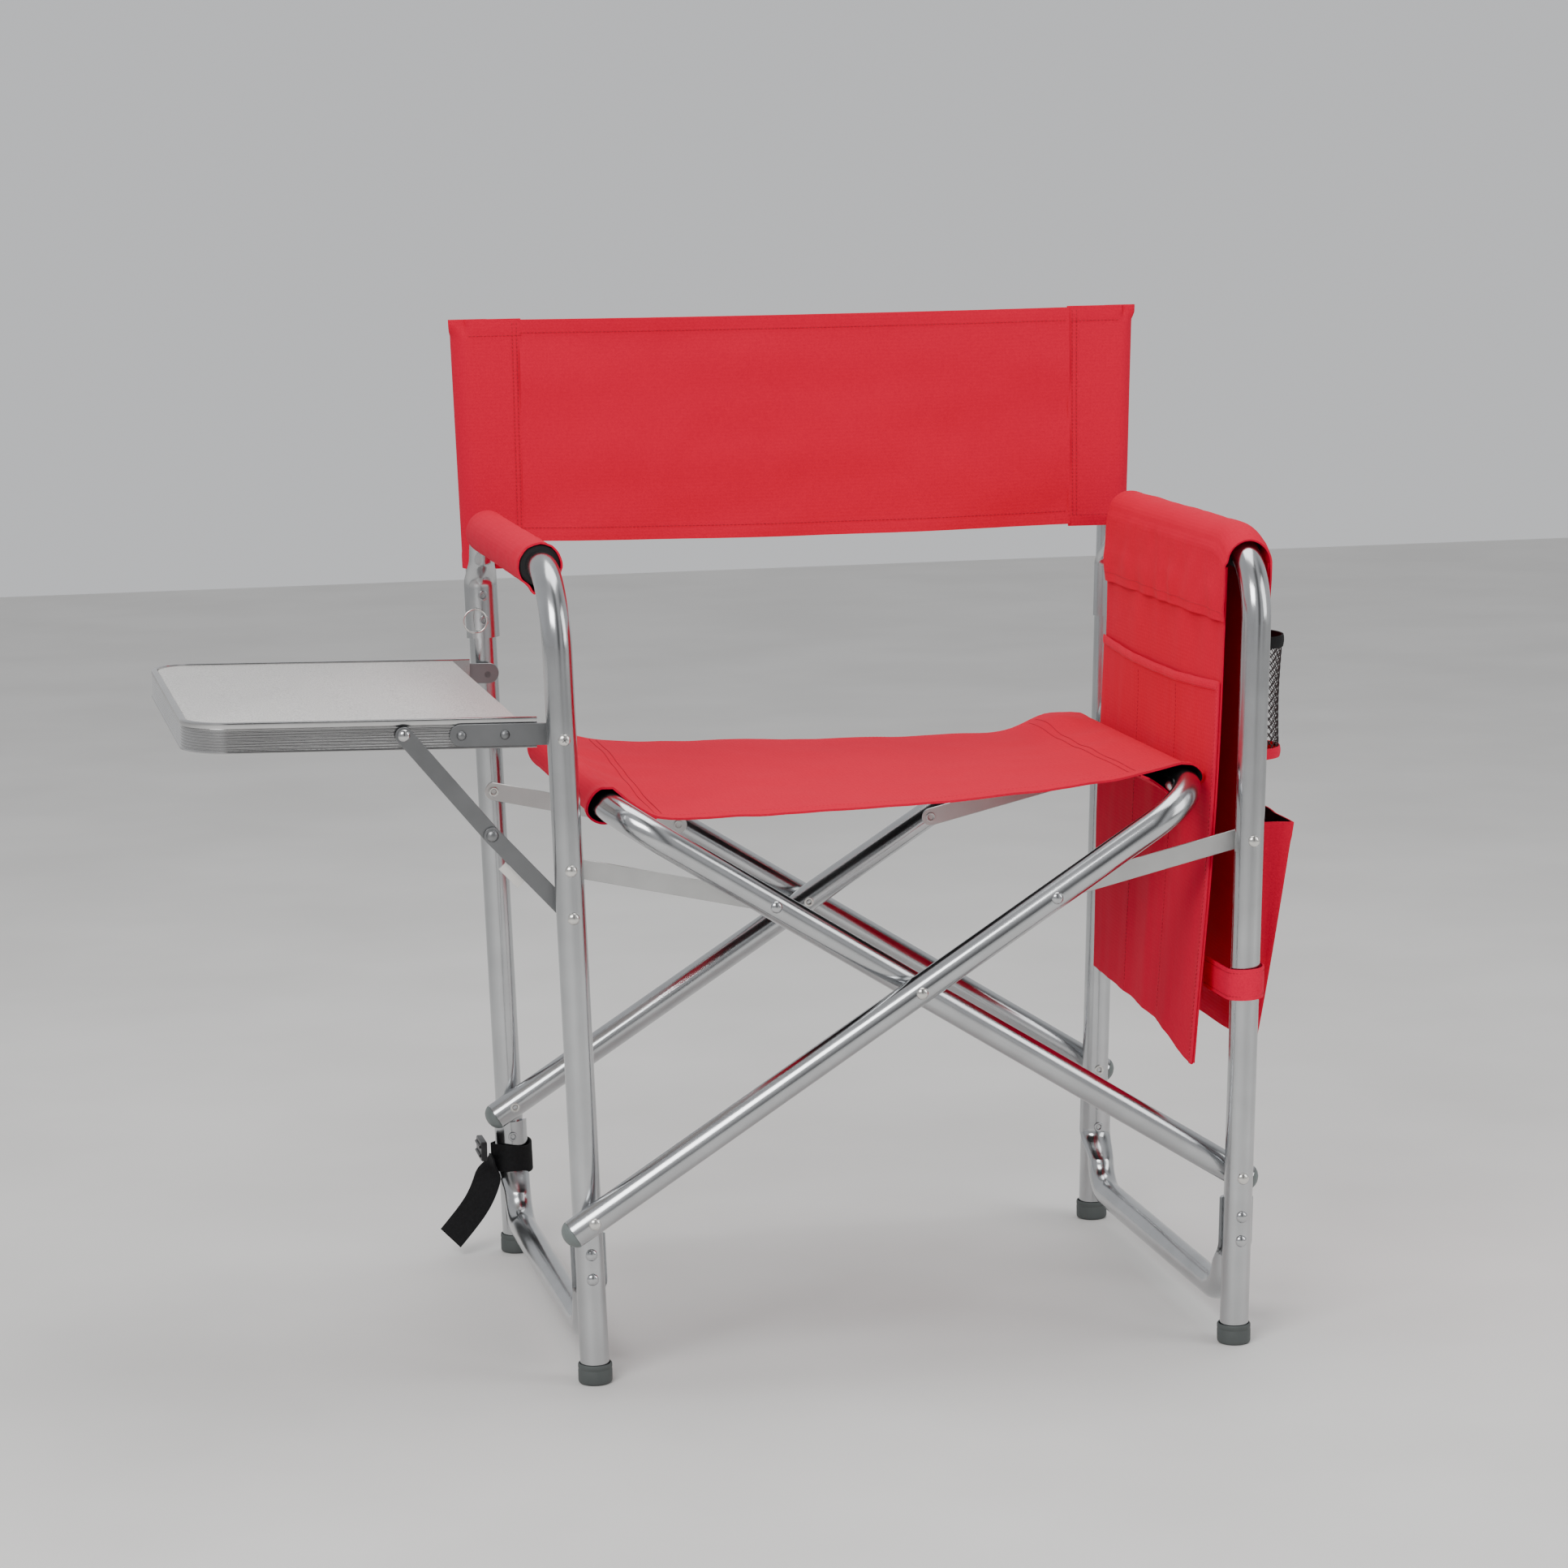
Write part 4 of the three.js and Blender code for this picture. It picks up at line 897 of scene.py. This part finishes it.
def curve(points, x):
    """A smooth line through (place, height) pairs."""
    for k in range(len(points) - 1):
        if x <= points[k + 1][0]:
            break
    (x0, z0), (x1, z1) = points[k], points[k + 1]
    before = points[max(k - 1, 0)]
    after = points[min(k + 2, len(points) - 1)]
    m0 = (z1 - before[1]) / (x1 - before[0]) * (x1 - x0)
    m1 = (after[1] - z0) / (after[0] - x0) * (x1 - x0)
    t = (x - x0) / (x1 - x0)
    return ((2 * t ** 3 - 3 * t ** 2 + 1) * z0 + (t ** 3 - 2 * t ** 2 + t) * m0
            + (3 * t ** 2 - 2 * t ** 3) * z1 + (t ** 3 - t ** 2) * m1)


def seat_height(x, t):
    """Height of the sling's upper side between the rails, t from its front edge to its rear."""
    share = max(-1.0, min(1.0, x / MEET))
    return EDGE_Z + mix(curve(FRONT_EDGE, share), curve(REAR_EDGE, share), smooth(t))


def seat_profile():
    """Points (x, z) across the seat. On the top z is None, since seat_height gives it; under the
    sling z is the share of the way from the rail to the seam. Also the top's first and last places."""
    top = [(mix(-MEET, MEET, i / 80), None) for i in range(81)]
    wrap = []
    for i in range(1, 25):
        a = mix(WRAP_START, WRAP_END, i / 24)
        wrap.append((RAIL_X + SEAT_R * math.cos(a), RAIL_Z + SEAT_R * math.sin(a)))
    under = [(mix(wrap[-1][0], SLEEVE_SEAM, i / UNDER_ROWS), i / UNDER_ROWS)
             for i in range(1, UNDER_ROWS + 1)]
    left = [(-x, z) for x, z in wrap + under][::-1]
    return left + top + wrap + under, len(left), len(left) + len(top)


def cut_back(x, z):
    """Share of the full cut at the corners, where the sling goes round and under a rail."""
    return smooth((RAIL_Z + 8 - z) / 22) * (abs(x) > 212)


def seat_front(x, z):
    """Front edge of the sling: cut back under the rails, nearly straight between."""
    base = mix(40, 17, (x + RAIL_X) / (2 * RAIL_X)) - 6 * math.cos(math.pi * x / (2 * RAIL_X))
    return base + cut_back(x, z) * (22 if x < 0 else 26)


def seat_rear(x, z):
    base = mix(374, 347, (x + RAIL_X) / (2 * RAIL_X)) + 9 * math.cos(math.pi * x / (2 * RAIL_X))
    return base - cut_back(x, z) * 14


def seat_lift(x, y, t, level, mouth):
    """What the top adds to its sag: gaping sleeve mouths, two bulges, creases and turned hems."""
    flat = max(0.0, 1 - (abs(x) / 215) ** 6)
    lift = mouth * bell(abs(x), MEET, 16)
    lift += 8.0 * bell(x, 214, 17) * bell(y, 308, 34)
    lift += 2.5 * bell(x, -205, 26) * bell(y, 300, 60)
    lift += crumple((x * 0.5, y * 0.18, 0), 1.6, 30, 5.0) * flat
    lift += crumple((x, y * 0.6, level), 0.7, 26, 7.7)
    lift += bell(abs(x), 222, 30) * 0.8 * math.sin(y / 11.0 + 0.8 * math.sin(y / 37.0))
    return lift - (2.2 * smooth((0.05 - t) / 0.05) + 2.0 * smooth((t - 0.95) / 0.05)) * flat


def seat():
    line, first, last = seat_profile()
    wrap_end = RAIL_Z + SEAT_R * math.sin(WRAP_END)
    depth_steps = 64
    rows = []
    for i, (x, z) in enumerate(line):
        row = []
        on_top = first <= i < last
        below = i < UNDER_ROWS or i >= len(line) - UNDER_ROWS
        edge = EDGE_Z + 40 if on_top else (RAIL_Z - 14 if below else z)
        for j in range(depth_steps + 1):
            t = j / depth_steps
            y = mix(seat_front(x, edge), seat_rear(x, edge), t)
            mouth = 2.6 * smooth((0.1 - t) / 0.1)
            if on_top:
                level = seat_height(x, t)
                row.append(Vector((x, y, level + seat_lift(x, y, t, level, mouth))))
            elif below:
                level = mix(wrap_end - mouth, seat_height(x, t) - 1.6, z)
                row.append(Vector((x, y, level + 2.0 * math.sin(math.pi * z))))
            else:
                out = Vector((x - math.copysign(RAIL_X, x), 0, z - RAIL_Z)).normalized()
                row.append(Vector((x, y, z)) + out * mouth)
        rows.append(row)

    solid = Solid()
    cloth(solid, rows, lambda s, t: 1.9 if t < 0.045 or t > 0.955 else 0.9, 1)
    obj = solid.build("seat_sling", [CLOTH, LINING], 60)
    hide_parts("seat_panel", "seat_sleeve_left", "seat_sleeve_right")
    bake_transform(obj)
    seams = Solid()
    for target in (-203, -199, 199, 203):
        i = min(range(first, last), key=lambda r: abs(line[r][0] - target))
        stitches(seams, moved(rows[i], 0, 0, 0.75))
    for j in (2, depth_steps - 2):
        stitches(seams, moved([row[j] for row in rows[first + 2:last - 2]], 0, 0, 0.75))
    thread = seams.build("stitch_seat", THREAD)
    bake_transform(thread)


seat()

# ---------------------------------------------------------------- back sling
BACK_BOTTOM, BACK_TOP = (corner.z * 1000 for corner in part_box("back_panel"))
SEAM_LEFT, SEAM_RIGHT = -249.0, 246.0
BACK_R = 13.9
CLOSED_R = 1.2


def back_y(x, z):
    """Front face of the back sling between the posts."""
    half = leg_x(z)
    t = (x + half) / (2 * half)
    bow = 9.0 * math.sin(math.pi * min(1, max(0, t))) ** 2
    return mix(DEPTH - BACK_R, DEPTH - STAGGER - BACK_R, t) + bow - 3.2


def back_sleeve(name, side, seam, bottom, node_name, body):
    """Cloth from the seam across the front of the post, round it, and back to the seam. It closes
    flat over the post's top."""
    rows = []
    steps = 60
    for i in range(steps + 1):
        z = mix(bottom, BACK_TOP + 1.0, i / steps)
        close = smooth((z - 836) / 9)
        cx = side * leg_x(z)
        cy = DEPTH - (STAGGER if side > 0 else 0) - close * (BACK_R - CLOSED_R)
        rx = BACK_R + close * (2.6 if side < 0 else -0.6)
        ry = mix(BACK_R, CLOSED_R, close)
        row = []
        for k in range(13):
            x = mix(seam, cx, k / 12)
            row.append(Vector((x, back_y(x, z), z)))
        for k in range(1, 41):
            a = -math.pi / 2 + side * 1.5 * math.pi * k / 40
            ahead = 3.2 * max(0.0, -math.sin(a)) * (1 - close)
            row.append(Vector((cx + rx * math.cos(a), cy + ry * math.sin(a) - ahead, z)))
        join = cx - side * 14.2
        wrapped, joined = row[-1], Vector((join, back_y(join, z) + 1.5, z))
        row += [wrapped.lerp(joined, k / 5) for k in range(1, 6)]
        for k in range(1, 9):
            x = mix(join, seam, k / 8)
            row.append(Vector((x, back_y(x, z) + 1.4, z)))
        for p in row:
            p.y += crumple((p.x, 0, p.z * 0.4), 0.5, 34, 2.0 + side)
        rows.append(row)
    obj = cloth_piece(name, [CLOTH], Vector, rows, lambda s, t: 1.7 if s < 0.06 or s > 0.94 else 0.9,
                      body, "cloth", node_name)
    lines = [[row[k] for row in rows[3:]] for k in (1, 2)] + [rows[i][:14] for i in (3, steps - 4)]
    thread_piece(name + "_stitch", Vector, body, [moved(line, 0, -0.8, 0) for line in lines])


back_sleeve("sleeve_back_left", -1, SEAM_LEFT, 630.0, "back_sleeve_left", "left_frame")
back_sleeve("sleeve_back_right", 1, SEAM_RIGHT, 652.0, "back_sleeve_right", "right_frame")


def back_middle():
    rows = []
    steps, count = 50, 80
    for i in range(steps + 1):
        row = []
        for k in range(count + 1):
            x = mix(SEAM_LEFT - 1.5, SEAM_RIGHT + 1.5, k / count)
            low = BACK_BOTTOM + 2 - 4 * math.sin(math.pi * k / count)
            high = BACK_TOP - 1.5 * math.sin(math.pi * k / count)
            z = mix(low, high, i / steps)
            y = back_y(x, z) - 0.5
            y += crumple((x * 0.25, 0, z), 2.6, 40, 4.4)
            y += crumple((x, 0, z * 0.5), 0.7, 18, 6.1)
            y += smooth((0.22 - i / steps) / 0.22) * 1.6 * math.sin(x / 26 + 1.5 * math.sin(z / 30))
            row.append(Vector((x, y, z)))
        rows.append(row)
    obj = cloth_piece("sling_back", [CLOTH], Vector, rows,
                      lambda s, t: 1.9 if s < 0.05 or s > 0.94 else 0.9,
                      "left_frame", "cloth", "back_panel")
    thread = thread_piece("stitch_back", Vector, "left_frame",
                          [moved(rows[i], 0, -0.9, 0) for i in (3, steps - 3)])
    for piece in (obj, thread):
        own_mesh(piece)


back_middle()

# ---------------------------------------------------------------- arm organiser
# Right frame's own axes: x outwards, y behind the leg, z up the leg.
BAG_FRONT, BAG_REAR = 26.0, 362.0
WRAP_R = 19.0
FLAP_Z = 607.0
PANEL_BOTTOM = 249.0


def wrap_profile(y):
    """Over the arm: from the inner flap's hem, over the pad, to just below it outside."""
    axis = arm_axis(y)
    points = []
    for i in range(16):
        t = i / 15
        points.append((-WRAP_R - 2.2 - 1.2 * math.sin(math.pi * t) * (1 - t), mix(FLAP_Z, axis - 2, t)))
    for i in range(1, 33):
        a = math.pi - math.pi * i / 32
        points.append((WRAP_R * math.cos(a) * (1 + 0.02 * math.sin(a)), axis + WRAP_R * math.sin(a)))
    for i in range(1, 13):
        t = i / 12
        points.append((mix(WRAP_R, WRAP_R - 0.6, t), mix(axis, 620, t)))
    return points


def organiser_wrap():
    rows = []
    steps = 84
    for i in range(steps + 1):
        y = mix(23.0, PAD_END + 4, i / steps)
        row = []
        for k, (x, z) in enumerate(wrap_profile(y)):
            if k < 16:
                gather = (1 - k / 15) * 1.3 * math.sin(y / 7.5 + 1.3 * math.sin(y / 31.0))
                gather += crumple((0, y, z), 1.4, 22, 8.0)
            else:
                gather = crumple((x, y * 0.7, z), 0.8, 20, 1.5)
            outward = Vector((x, 0, max(0.0, z - arm_axis(y)))).normalized()
            row.append(Vector((x, y, z)) + outward * gather)
        rows.append(row)
    obj = cloth_piece("organiser_wrap", [CLOTH], RIGHT, rows,
                      lambda s, t: 1.7 if s < 0.03 or s > 0.97 or t < 0.12 else 0.9,
                      "right_frame", "cloth", "organiser_cover")
    thread_piece("stitch_wrap", RIGHT, "right_frame", [moved([row[2] for row in rows], -0.9, 0, 0)])


organiser_wrap()


def inner_x(y, z):
    """How far in the inner panel hangs; its front corner swings furthest in."""
    front = 1 - smooth((y - BAG_FRONT) / (BAG_REAR - BAG_FRONT))
    drop = max(0.0, (600 - z) / 350)
    return -18.2 - 2.2 * drop - 12.5 * front * drop ** 1.7


def inner_bottom(y):
    t = (y - BAG_FRONT) / (BAG_REAR - BAG_FRONT)
    return PANEL_BOTTOM - 14 * (1 - smooth(t / 0.35)) + 4 * t


def pushed(obj):
    """Gives the piece a mesh of its own. On the real chair the inner bag is pressed flat against the
    frame by the cross tube as the chair folds; the piece is not pressed or folded here.
    """
    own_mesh(obj)


def organiser_inner():
    steps, count = 76, 70
    panel, pocket = [], []
    for i in range(steps + 1):
        line, front_line = [], []
        for k in range(count + 1):
            y = mix(BAG_FRONT, BAG_REAR, k / count)
            arch = math.sin(math.pi * k / count)
            low = inner_bottom(y)
            z = mix(low, 652, i / steps)
            x = inner_x(y, z)
            x += crumple((0, y * 0.9, z * 0.25), 2.0, 38, 3.0) * smooth((640 - z) / 60)
            line.append(Vector((x, y, z)))
            z = mix(low - 1, 556 - 6 * arch, i / steps)
            bulge = 1.5 + 1.0 * arch * math.sin(math.pi * min(1, i / steps + 0.2))
            x = inner_x(y, z) + crumple((0, y * 0.9, z * 0.25), 2.0, 38, 3.0) - bulge
            x += -1.2 * smooth((i / steps - 0.9) / 0.1) * arch
            x += crumple((4, y * 1.2, z * 0.2), 1.0, 17, 5.0) * 0.6
            front_line.append(Vector((x, y + 0.6, z)))
        panel.append(line)
        pocket.append(front_line)
    for name, rows, height, nodes in (
        ("organiser_inner_panel", panel, 0.405, ["organiser_inner_bag"]),
        ("organiser_inner_pocket", pocket, 0.31, []),
    ):
        obj = cloth_piece(name, [CLOTH], RIGHT, rows,
                          lambda s, t: 1.5 if t < 0.035 or t > 0.965 or s < 0.03 else 0.8,
                          "right_frame", "cloth", *nodes)
        pushed(obj)
    trim = Solid(RIGHT)
    top = pocket[-1]
    cloth(trim, [moved(top, -0.9 - 0.5 * math.sin(math.pi * s / 6), 0, -7 + 8.0 * s / 6)
                 for s in range(7)], 0.9)
    front_edge = [row[0] for row in pocket]
    cloth(trim, [moved(front_edge, -0.9, dy, 0) for dy in (-1.0, 2.5, 6.0)], 1.1)
    pushed(ready(trim.build("organiser_inner_binding", BINDING, 60), "right_frame", "cloth"))
    lines = [moved(top, -1.5, 0, -6.0), moved([row[1] for row in pocket], -1.7, -0.5, 0)]
    lines += [moved([row[k] for row in pocket[:-2]], -0.55, 0, 0) for k in (24, 47)]
    pushed(thread_piece("stitch_inner", RIGHT, "right_frame", lines))


organiser_inner()


def outer_x(y, z):
    return 18.0 + crumple((9, y * 0.9, z * 0.3), 1.6, 36, 6.0) * smooth((640 - z) / 60)


POCKET_LOW, POCKET_HIGH = 252, 438
POCKET_X = 18.6


def pocket_depth(z, t):
    """How far the lower pocket stands off, t across it; it gapes at its mouth."""
    rise = max(0.0, (z - POCKET_LOW) / (POCKET_HIGH - POCKET_LOW))
    return 2.0 + 31.0 * rise ** 0.9 * (0.86 + 0.14 * math.sin(math.pi * t))


def pocket_side(y, z, depth, fold_way):
    """One end of the lower pocket at a height, from the panel outwards, with its fold."""
    bend = fold_way * smooth((z - 270) / 90)
    return [Vector((POCKET_X + depth * k / 9, y + bend * math.sin(math.pi * k / 9), z))
            for k in range(10)]


def organiser_outer():
    steps, count = 76, 70
    rows = []
    for i in range(steps + 1):
        z = mix(PANEL_BOTTOM, 655, i / steps)
        places = [mix(BAG_FRONT, BAG_REAR, k / count) for k in range(count + 1)]
        rows.append([Vector((outer_x(y, z), y, z)) for y in places])
    obj = cloth_piece("organiser_outer_panel", [CLOTH], RIGHT, rows,
                      lambda s, t: 1.6 if s < 0.03 or t < 0.03 or t > 0.97 else 0.8,
                      "right_frame", "cloth", "organiser_outer_bag")

    rows = []
    near, far = BAG_FRONT + 1.5, BAG_REAR - 1.5
    for i in range(46):
        z = mix(POCKET_LOW, POCKET_HIGH, i / 45)
        row = pocket_side(near, z, pocket_depth(z, 0), 2.4)
        for k in range(1, 56):
            t = k / 56
            y = mix(near, far, t)
            x = POCKET_X + pocket_depth(z, t)
            x += crumple((3, y, z * 0.5), 2.2, 30, 7.0) * smooth((z - 260) / 60)
            x -= 2.5 * max(0.0, 1 - min(t, 1 - t) / 0.03) ** 2
            row.append(Vector((x, y, z)))
        row += pocket_side(far, z, pocket_depth(z, 1), -2.4)[::-1]
        rows.append(row[::-1])
    obj = cloth_piece("organiser_lower_pocket", [CLOTH, LINING], RIGHT, rows,
                      lambda s, t: 1.8 if s > 0.93 else 0.9, "right_frame", "cloth", back_slot=1)
    back = [[Vector((19.4, y, z)) for y in (BAG_FRONT + 3, (BAG_FRONT + BAG_REAR) / 2, BAG_REAR - 3)]
            for z in (262, 350, 444)]
    obj = cloth_piece("organiser_pocket_lining", [LINING], RIGHT, back, 0.6, "right_frame", "cloth")
    thread_piece("stitch_outer", RIGHT, "right_frame",
                 [moved(rows[-4][10:65], 0.95, 0, 0), moved(rows[1][10:65], 0.6, 0, 0)])


organiser_outer()


CUP_AT, CUP_R = 108.0, 39.5


def half_round(radius, z, count=40):
    """A half circle that stands off the outer panel."""
    return [Vector((18.4 + radius * math.sin(math.pi * k / count),
                    CUP_AT - radius * math.cos(math.pi * k / count), z)) for k in range(count + 1)]


def cup_pocket():
    """A half-round pocket of open mesh with a black top binding and a red hem below."""
    columns, tall = 44, 40
    rows = [half_round(CUP_R - 1.5 * math.sin(math.pi * i / tall), mix(490, 580, i / tall), columns)
            for i in range(tall + 1)]
    net = Solid(RIGHT)
    for shift in (0, 1):
        for start in range(-tall, columns, 3):
            line = []
            for i in range(tall + 1):
                k = start + i if shift == 0 else start + tall - i
                if 0 <= k <= columns:
                    line.append(rows[i][k] + Vector((0.15 if shift else -0.15, 0, 0)))
            if len(line) > 2:
                piping(net, line, 0.42, 5)
    ready(net.build("cup_mesh", MESH, 60), "right_frame", "mesh", "organiser_cup_pocket")
    for name, low, high, material in (("cup_top_binding", 578, 588, WEBBING),
                                      ("cup_bottom_binding", 484, 493, BINDING)):
        strip = [half_round(CUP_R + 0.6 + 0.7 * math.sin(math.pi * i / 6), mix(low, high, i / 6))
                 for i in range(7)]
        cloth_piece(name, material, RIGHT, strip, 1.3, "right_frame", "mesh")
    disc = [moved(half_round((CUP_R - 0.5) * s / 8, 486.5), 0.2, 0, 0) for s in range(1, 9)]
    cloth_piece("cup_floor", CLOTH, RIGHT, disc, 0.9, "right_frame", "mesh")


cup_pocket()


def leg_loop():
    """The strap that ties the organiser to the front leg."""
    path = [(-15.0, 60), (-14.8, 30), (-14.6, 4)]
    for k in range(13):
        a = math.pi + math.pi * k / 12
        path.append((14.6 * math.cos(a), -1 + 14.0 * math.sin(a)))
    path += [(14.6, 4), (14.8, 18), (15.2, 32)]
    rows = []
    for i in range(9):
        t = i / 8
        r = 1 + 0.02 * math.sin(math.pi * t)
        rows.append([Vector((x * r, y, mix(296, 322, t) + 5.0 * (k / (len(path) - 1) - 0.5)))
                     for k, (x, y) in enumerate(path)])
    cloth_piece("leg_loop", BINDING, RIGHT, rows, 1.4, "right_frame", "cloth", "organiser_leg_loop")
    thread_piece("stitch_loop", RIGHT, "right_frame",
                 [[Vector((p.x * 1.07, p.y - 0.4, p.z)) for p in rows[i]] for i in (1, 7)])


leg_loop()


# ---------------------------------------------------------------- carry strap and ring
def carry_strap():
    """A webbing loop round the left rear post, its hanging tail and the buckle between them."""
    r = 18.2
    rows = []
    for i in range(7):
        z = mix(77.5, 102.5, i / 6)
        angles = [mix(-math.pi * 0.9, math.pi * 0.9, k / 36) for k in range(37)]
        rows.append([Vector((r * math.cos(a), DEPTH + r * math.sin(a), z + 1.5 * math.sin(a * 2)))
                     for a in angles])
    cloth_piece("webbing_loop", WEBBING, LEFT, rows, 1.6, "left_frame", "webbing", "carry_strap_loop")
    rows = []
    for i in range(31):
        s = i / 30
        way = Vector((-9 - 66 * s, 0, -73)).normalized()
        turned = smooth(s * 3)
        spread = Vector((way.z, 0, -way.x)) * 0.9 * turned + Vector((0, 1, 0)) * (1 - 0.62 * turned)
        spread.normalize()
        middle = Vector((-19.5 - 9 * s - 33 * s * s, DEPTH - 10 + 1.5 * math.sin(s * 9), 93 - 73 * s))
        rows.append([middle + spread * 25 * (k / 8 - 0.5) for k in range(9)])
    cloth_piece("webbing_tail", WEBBING, LEFT, rows, 1.5, "left_frame", "webbing", "carry_strap_tail")
    low, high = chair_box("carry_strap_buckle")
    solid = Solid()
    cy, cz = (low.y + high.y) / 2, (low.z + high.z) / 2
    hy, hz = (high.y - low.y) / 2, (high.z - low.z) / 2
    rings = []
    for x, grow in ((low.x, -0.8), (low.x + 0.7, 0), (high.x - 0.7, 0), (high.x, -0.8)):
        ring = []
        for qy, qz, a0 in ((1, 1, 0), (-1, 1, 90), (-1, -1, 180), (1, -1, 270)):
            for y, z in arc_points(cy + qy * (hy - 3), cz + qz * (hz - 3), 3 + grow,
                                   math.radians(a0), math.radians(a0 + 90), 4):
                ring.append(Vector((x, y, z)))
        rings.append(ring)
    loft(solid, rings)
    for z in (cz - hz * 0.45, cz + hz * 0.45):
        piping(solid, [(low.x - 0.2, cy - hy * 0.8, z), (low.x - 0.5, cy, z),
                       (low.x - 0.2, cy + hy * 0.8, z)], 1.5, 10)
    ready(solid.build("buckle", BUCKLE, 40), "left_frame", "lining", "carry_strap_buckle")


carry_strap()


def ring():
    """The wire ring on the left frame."""
    low, high = chair_box("pull_ring")
    solid = Solid()
    wire = 0.8
    radius = (high.z - low.z) / 2 - wire
    count = 48
    rings = []
    for i in range(count):
        a = 2 * math.pi * i / count
        way = Vector((math.cos(a), 0, math.sin(a)))
        rings.append(circle((low + high) / 2 + way * radius, way, Vector((0, 1, 0)), wire, 12))
    loft(solid, rings + [rings[0]], False)
    ready(solid.build("ring", STEEL), "left_frame", "steel", "pull_ring")


ring()

# ---------------------------------------------------------------- floor, light and camera
floor = Solid()
floor.add([(-6000, -6000, 0), (6000, -6000, 0), (6000, 6000, 0), (-6000, 6000, 0)], [[0, 1, 2, 3]])
floor_material, floor_tree, floor_shader = new_material("floor_pale", (0.78, 0.77, 0.75), 0.6)
floor_cloud = noise_value(floor_tree, mapped(floor_tree), 3, 3)
floor_tree.links.new(tint(floor_tree, floor_cloud, (0.74, 0.73, 0.71), (0.80, 0.79, 0.77)),
                     floor_shader.inputs["Base Color"])
floor.build("floor", floor_material)

world = bpy.data.worlds.new("studio")
bpy.context.scene.world = world
world.use_nodes = True
sky = world.node_tree
direction = node(sky, "ShaderNodeTexCoord").outputs["Generated"]
axes = node(sky, "ShaderNodeSeparateXYZ")
sky.links.new(direction, axes.inputs[0])
bands = node(sky, "ShaderNodeValToRGB")
bands.color_ramp.interpolation = "EASE"
stops = bands.color_ramp.elements
for at, level_at in ((0.0, 0.75), (0.22, 0.10), (0.40, 0.85), (0.56, 0.12), (0.72, 0.9), (0.88, 0.15),
                     (1.0, 0.7)):
    stop = stops.new(at) if 0 < at < 1 else stops[int(at)]
    stop.color = (level_at, level_at, level_at * 1.02, 1)
sky.links.new(ranged(sky, axes.outputs["X"], 0.0, 1.0, -1.0, 1.0), bands.inputs["Fac"])
blend_sky = node(sky, "ShaderNodeMix", data_type="RGBA")
sky.links.new(ranged(sky, axes.outputs["Y"], 0.0, 1.0, -0.15, 0.35), blend_sky.inputs["Factor"])
sky.links.new(bands.outputs["Color"], blend_sky.inputs[6])
blend_sky.inputs[7].default_value = (0.86, 0.87, 0.89, 1)
sky.links.new(blend_sky.outputs[2], sky.nodes["Background"].inputs["Color"])
sky.nodes["Background"].inputs["Strength"].default_value = 0.75


def area_light(name, spot, target, size, power, color=(1, 1, 1)):
    data = bpy.data.lights.new(name, "AREA")
    data.shape = "RECTANGLE"
    data.size, data.size_y = size
    data.energy = power
    data.color = color
    obj = bpy.data.objects.new(name, data)
    bpy.context.scene.collection.objects.link(obj)
    obj.location = place(spot)
    way = place(target) - obj.location
    obj.rotation_euler = way.to_track_quat("-Z", "Y").to_euler()


area_light("key", (-1600, -2000, 2300), (0, 100, 400), (1.6, 1.2), 62)
area_light("fill", (2200, -1300, 1500), (0, 200, 400), (1.2, 1.8), 22)
area_light("top", (200, 500, 2600), (0, 200, 400), (1.6, 1.6), 30)

yaw, pitch, roll = 0.2143, -0.1589, -0.0145
forward = Vector((math.sin(yaw) * math.cos(pitch), math.cos(yaw) * math.cos(pitch), math.sin(pitch)))
level = Vector((math.cos(yaw), -math.sin(yaw), 0))
upright = level.cross(forward)
right_way = level * math.cos(roll) + upright * math.sin(roll)
up_way = upright * math.cos(roll) - level * math.sin(roll)
camera_data = bpy.data.cameras.new("camera")
camera_data.sensor_width = 36
camera_data.lens = 97.59
camera = bpy.data.objects.new("camera", camera_data)
bpy.context.scene.collection.objects.link(camera)
turn = Matrix((right_way, up_way, -forward)).transposed().to_4x4()
camera.matrix_world = Matrix.Translation(place((-829.07, -3329.26, 1035.55))) @ turn
bpy.context.scene.camera = camera
